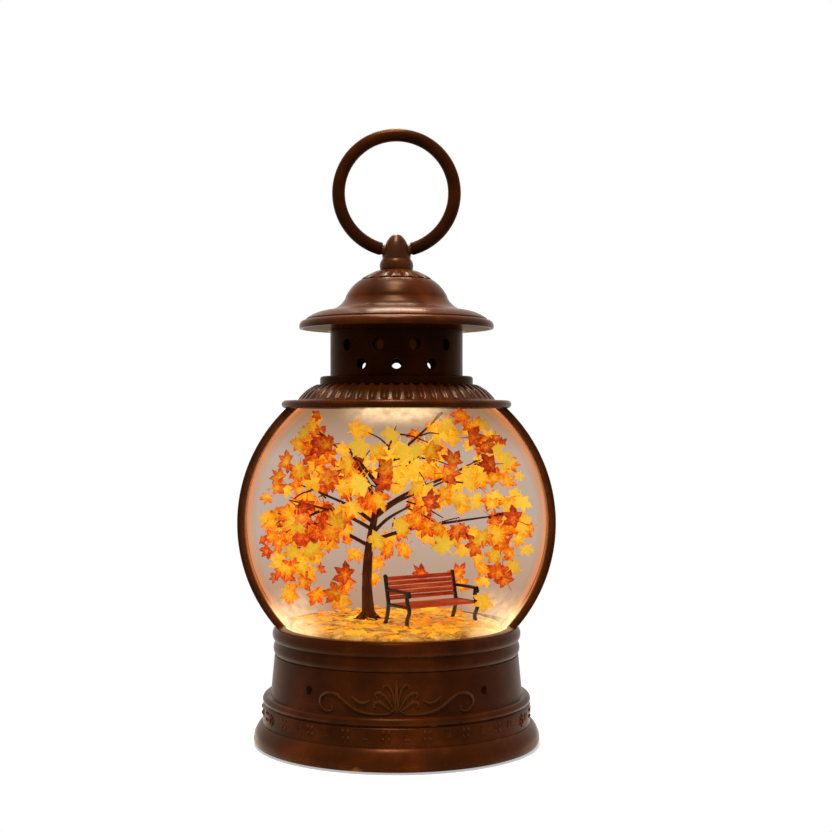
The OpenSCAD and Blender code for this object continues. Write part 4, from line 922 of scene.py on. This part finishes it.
# leaves that float clear of the tree: an even scatter, of which these numbers keep clear of everything
drift = {"gap": 2.0, "scatter": (0.8191725134, 0.6710436067, 0.5497004779), "low": 0.1, "span": 0.8, "inset": 3,
         "insets": 5, "yaw": 40, "nod": 30, "tone": (0.05, 0.85), "curl": 0.25,
         "numbers": [2, 3, 4, 5, 6, 7, 9, 10, 11, 13, 15, 17, 19, 21, 22, 23, 24, 26, 27, 28, 29, 30, 31, 33,
                     34, 35, 36, 38, 39, 42, 44, 48, 52, 54, 55, 59, 61, 62, 63, 64, 65, 66, 70, 71, 72, 75,
                     78, 80, 83, 84, 85, 89, 90, 91, 95, 96, 101, 105, 111, 118, 124, 129]}
clearHeight = tree["ceiling"] - tree["ground"]
floating = []
for n in drift["numbers"]:
    compass, height, depth = [n * factor % 1 for factor in drift["scatter"]]
    turn, seed = radians(round(360 * compass)), 300 + 7 * n
    inset = drift["inset"] * round(drift["insets"] * depth)
    z = tree["ground"] + round(drift["low"] + drift["span"] * height, 2) * clearHeight
    reach = sqrt(tree["ballIn"] ** 2 - (z - globe["middle"]) ** 2) - leaf["size"] - drift["gap"] - inset
    place = laid(reach, turn, z, radians(sway(seed, drift["yaw"])), radians(90 + sway(seed + 1, drift["nod"])),
                 radians(chance(seed + 2, 0, 360)))
    floating.append((place, chance(seed + 3, *drift["tone"]), sway(seed + 4, drift["curl"])))
leafCluster("driftingLeaves", floating, autumnLeaf, stands=["drifting_leaves"])

# small leaves that float next to the glass, and more of them at its sides: angle and share of the clear height
small = {"count": 100, "low": 0.08, "high": 0.96, "gap": 1.0, "size": (0.5, 0.95), "clear": 33.0,
         "yaw": 40, "nod": 25, "tone": (0.0, 0.8), "curl": 0.2,
         "sides": [(178, 0.95), (168, 0.9), (176, 0.82), (188, 0.74), (170, 0.66), (192, 0.58), (179, 0.48),
                   (187, 0.38), (172, 0.27), (2, 0.95), (12, 0.9), (5, 0.82), (-8, 0.74), (10, 0.66),
                   (-12, 0.56), (1, 0.45), (-7, 0.34), (8, 0.24)]}
spots = [(chance(2100 + i, 0, 2 * pi), chance(2200 + i, small["low"], small["high"]))
         for i in range(small["count"])]
spots += [(radians(degree), share) for degree, share in small["sides"]]
flakes = []
for i, (turn, share) in enumerate(spots):
    size = chance(2500 + i, *small["size"])
    z = tree["ground"] + share * clearHeight
    span = leaf["size"] * size
    reach = sqrt(tree["ballIn"] ** 2 - (abs(z - globe["middle"]) + span) ** 2) - span - small["gap"]
    if reach * sin(turn) < 0 and abs(reach * cos(turn)) < small["clear"]:  # none in front of the tree
        continue
    place = laid(reach, turn, z, radians(sway(2300 + i, small["yaw"])),
                 radians(90 + sway(2350 + i, small["nod"])), chance(2400 + i, 0, 2 * pi), size)
    flakes.append((place, chance(2600 + i, *small["tone"]), sway(2700 + i, small["curl"])))
leafCluster("smallLeaves", flakes, autumnLeaf)

# fallen leaves lie on the mound
litter = {"count": 199, "reach": 42.5, "size": (0.38, 0.78), "lift": 0.45, "tilt": 24, "tone": (-0.2, 0.55),
          "curl": 0.3}
fallen = []
for i in range(litter["count"]):
    reach = litter["reach"] * sqrt(chance(700 + i, 0.01, 1))
    edge = max(0, reach - ground["flat"]) / rim
    z = ground["edge"] + dome * cos(radians(90 * edge)) + litter["lift"]
    place = laid(reach, chance(500 + i, 0, 2 * pi), z, chance(900 + i, 0, 2 * pi),
                 radians(sway(1100 + i, litter["tilt"])), size=chance(1300 + i, *litter["size"]))
    fallen.append((place, chance(1500 + i, *litter["tone"]), sway(1700 + i, litter["curl"])))
leafCluster("fallenLeaves", fallen, litterLeaf)
print("tree, leaves and ground made")

# bench: cast ends, five seat slats and five back slats
bench = {"at": (15.0, -8.0), "turn": 34, "length": 36.0, "depth": 14.4, "seat": 9.0, "back": 19.6, "arm": 14.2,
         "endT": 1.5, "bar": 1.5, "slatT": 1.0, "slats": 5, "slatGap": 0.25, "slatEdge": 0.16, "backGap": 0.9,
         "lean": 0.22, "legBow": 0.9, "postBow": 0.8, "kick": 2.4, "sunk": 0.2, "armBow": 0.2, "armNose": 0.6,
         "curl": 1.1, "curlSteps": 9, "curlIn": 0.12, "curlTurn": 0.7, "curlOut": 0.2, "curlDrop": 0.9,
         "postLow": 1.2, "postTop": 0.3, "foot": 1.25, "footUp": 0.15, "footShape": (1, 1, 0.4, 1),
         "knob": 0.95,
         "section": [(-0.75, -0.4), (-0.5, -0.6), (0.5, -0.6), (0.75, -0.4), (0.75, 0.4), (0.5, 0.6),
                     (-0.5, 0.6), (-0.75, 0.4)]}
benchPlace = at(*bench["at"], tree["ground"]) @ turned(radians(bench["turn"]), "Z")
stainedSlat = slatFinish(-radians(bench["turn"]))
deep, seat, arm = bench["depth"] / 2, bench["seat"], bench["arm"]


def frontLeg(z):
    return -deep + bench["legBow"] * sin(2 * pi * z / seat)


def armPost(z):
    return -deep + bench["postBow"] * sin(pi * (max(z, seat) - seat) / (arm - seat))


def backPost(z):
    return deep + (bench["kick"] * (1 - z / seat) ** 2 if z < seat else bench["lean"] * (z - seat))


def armRest(y):
    return arm + bench["armBow"] * sin(pi * (y + deep) / (backPost(arm) + deep))


bm = bmesh.new()
seatZ = seat - bench["bar"] / 2
section = [(x * mm, y * mm) for x, y in bench["section"]]
curl = []
for i in range(bench["curlSteps"]):
    r, turn = bench["curl"] * (1 - bench["curlIn"] * i), bench["curlTurn"] * i
    curl.append((-deep - bench["armNose"] + r * sin(turn) - bench["curlOut"],
                 arm - bench["curlDrop"] + r * cos(turn)))
bars = [[(frontLeg(z), z) for z in steps(-bench["sunk"], seat, 14)],
        [(armPost(z), z) for z in steps(seat - bench["postLow"], arm - bench["postTop"], 8)],
        [(backPost(z), z) for z in steps(-bench["sunk"], bench["back"], 20)],
        [(y, seatZ) for y in steps(-deep, deep, 4)],
        [(y, armRest(y)) for y in steps(backPost(arm), -deep - bench["armNose"], 8)] + curl]
for side in (-1, 1):
    x = side * (bench["length"] - bench["endT"]) / 2
    for bar in bars:
        path = [Vector((x, y, z)) * mm for y, z in bar]
        sweep(bm, section, path, [1] * len(path), Vector((1, 0, 0)).cross(path[-1] - path[0]))
    for y in (deep + bench["kick"], -deep):
        ball(bm, bench["foot"], at(x, y, bench["footUp"]) @ Matrix.Diagonal(bench["footShape"]), 12, 6)
    ball(bm, bench["knob"], at(x, backPost(bench["back"]), bench["back"]), 12, 8)
bmesh.ops.transform(bm, matrix=benchPlace, verts=bm.verts)
addPiece("benchEnds", bm, castIron, stands=["bench_ends"], smooth=45)

bm = bmesh.new()
seatPitch = bench["depth"] / bench["slats"]
backLow = seat + bench["backGap"]
backPitch = (bench["back"] - backLow) / bench["slats"]
slatLength = bench["length"] - 2 * bench["endT"]
for i in range(bench["slats"]):
    z = backLow + backPitch * (i + 0.5)
    leaned = at(0, backPost(z), z) @ turned(pi / 2 - atan(bench["lean"]), "X")
    for place, width in ((at(0, -deep + seatPitch * (i + 0.5), seatZ), seatPitch), (leaned, backPitch)):
        slat = Matrix.Diagonal((slatLength, width - bench["slatGap"], bench["slatT"], 1))
        bmesh.ops.create_cube(bm, size=mm, matrix=place @ slat)
bmesh.ops.recalc_face_normals(bm, faces=bm.faces)
soften(bm, bench["slatEdge"], 60)
bmesh.ops.transform(bm, matrix=benchPlace, verts=bm.verts)
addPiece("benchSlats", bm, stainedSlat, stands=["bench_slats"], smooth=45)
print("bench made")

# the other solids keep their shape and get a finish
# the chimney takes the darkest paint, a painted shade of the brim's shadow
kept = [(paintedShadeBronze, ["chimney"]), (clearPlastic, ["globe_stopper"]), (boardWhite, ["led_board"]),
        (lampLens, ["led_lamps"]), (cellJacket, ["battery_cells"]), (greyPlastic, ["switch_knob"]),
        (whitePlastic, ["impeller", "motor_bracket"]),
        (blackRubber, ["globe_pad", "stopper_seal", "rubber_feet"]),
        (blackPlastic, ["magnet_drive", "bottom_plate", "battery_door", "switch_body"]),
        (platedSteel, ["finial_nut", "impeller_pin", "drive_magnets", "motor_shaft", "motor", "bracket_screws",
                       "plate_screws", "battery_contacts", "door_screw"])]
for finish, names in kept:
    for name in names:
        nodes[name].data.materials.clear()
        nodes[name].data.materials.append(finish)

# stage: a pale floor that takes the shadow near the foot and fades into the white behind it, clear from below
stage = {"tone": 0.9, "near": 0.075, "far": 0.15, "size": 1.2, "lift": 0.45, "drop": 0.0001}
floorPaint, shader = newFinish("floorPaint", "none", {
    "Base Color": (stage["tone"], stage["tone"], stage["tone"], 1), "Roughness": 1.0, "Specular IOR Level": 0.0,
    "Emission Color": (1, 1, 1, 1)})
floorPlace = addNode("TexCoord").outputs["Object"]
away = addNode("VectorMath", {0: floorPlace}, operation="LENGTH").outputs["Value"]
fade = addNode("MapRange", {"Value": away, "From Min": stage["near"], "From Max": stage["far"],
                            "To Min": 1.0, "To Max": 0.0}).outputs[0]
join(shader.inputs["Alpha"], calc("MULTIPLY", fade, frontOnly()))
join(shader.inputs["Emission Strength"], calc("MULTIPLY", whiteRays(), stage["lift"]))
bm = bmesh.new()
bmesh.ops.create_grid(bm, x_segments=2, y_segments=2, size=stage["size"],
                      matrix=Matrix.Translation((0, 0, -stage["drop"])))
floorPiece = linked("floor", bm, floorPaint)

# light: soft boxes overhead, behind and in front, two small ones in the globe, and a white surround
surround = {"light": 0.35, "white": 1.0}
world = bpy.data.worlds.new("surround")
scene.world = world
world.use_nodes = True
inHand["tree"] = world.node_tree
sky = world.node_tree.nodes["Background"]
sky.inputs["Color"].default_value = (1, 1, 1, 1)
level = addNode("MapRange", {"Value": whiteRays(), "To Min": surround["light"], "To Max": surround["white"]})
join(sky.inputs["Strength"], level.outputs[0])
lamps = {"key": {"at": (-0.03, -0.02, 1.0), "aim": (-0.03, 0, 0.15), "size": (0.26, 0.16), "power": 6.5,
                 "colour": (1, 0.92, 0.8)},
         "back": {"at": (-0.02, 0.44, 0.78), "aim": (-0.02, 0, 0.17), "size": (0.34, 0.14), "power": 4.0,
                  "colour": (1, 0.92, 0.8)},
         "front": {"at": (-0.06, -0.26, 0.9), "aim": (-0.06, 0, 0.12), "size": (0.2, 0.12), "power": 5.5,
                   "colour": (1, 0.93, 0.82)},
         "sceneGlow": {"at": (0, 0, 0.0518), "aim": (0, 0, 0.2), "size": (0.074, 0.074), "power": 0.012,
                       "colour": (1, 0.72, 0.36)},
         "crownGlow": {"at": (0, 0, 0.1408), "aim": (0, 0, 0), "size": (0.05, 0.05), "power": 0.006,
                       "colour": (1, 0.78, 0.42)}}
for name, lamp in lamps.items():
    light = bpy.data.lights.new(name, "AREA")
    light.shape = "ELLIPSE"
    light.size, light.size_y = lamp["size"]
    light.energy = lamp["power"]
    light.color = lamp["colour"]
    holder = bpy.data.objects.new(name, light)
    holder.location = lamp["at"]
    holder.rotation_euler = (Vector(lamp["aim"]) - Vector(lamp["at"])).to_track_quat("-Z", "Y").to_euler()
    holder.visible_camera = False
    scene.collection.objects.link(holder)
print("stage and lights made")
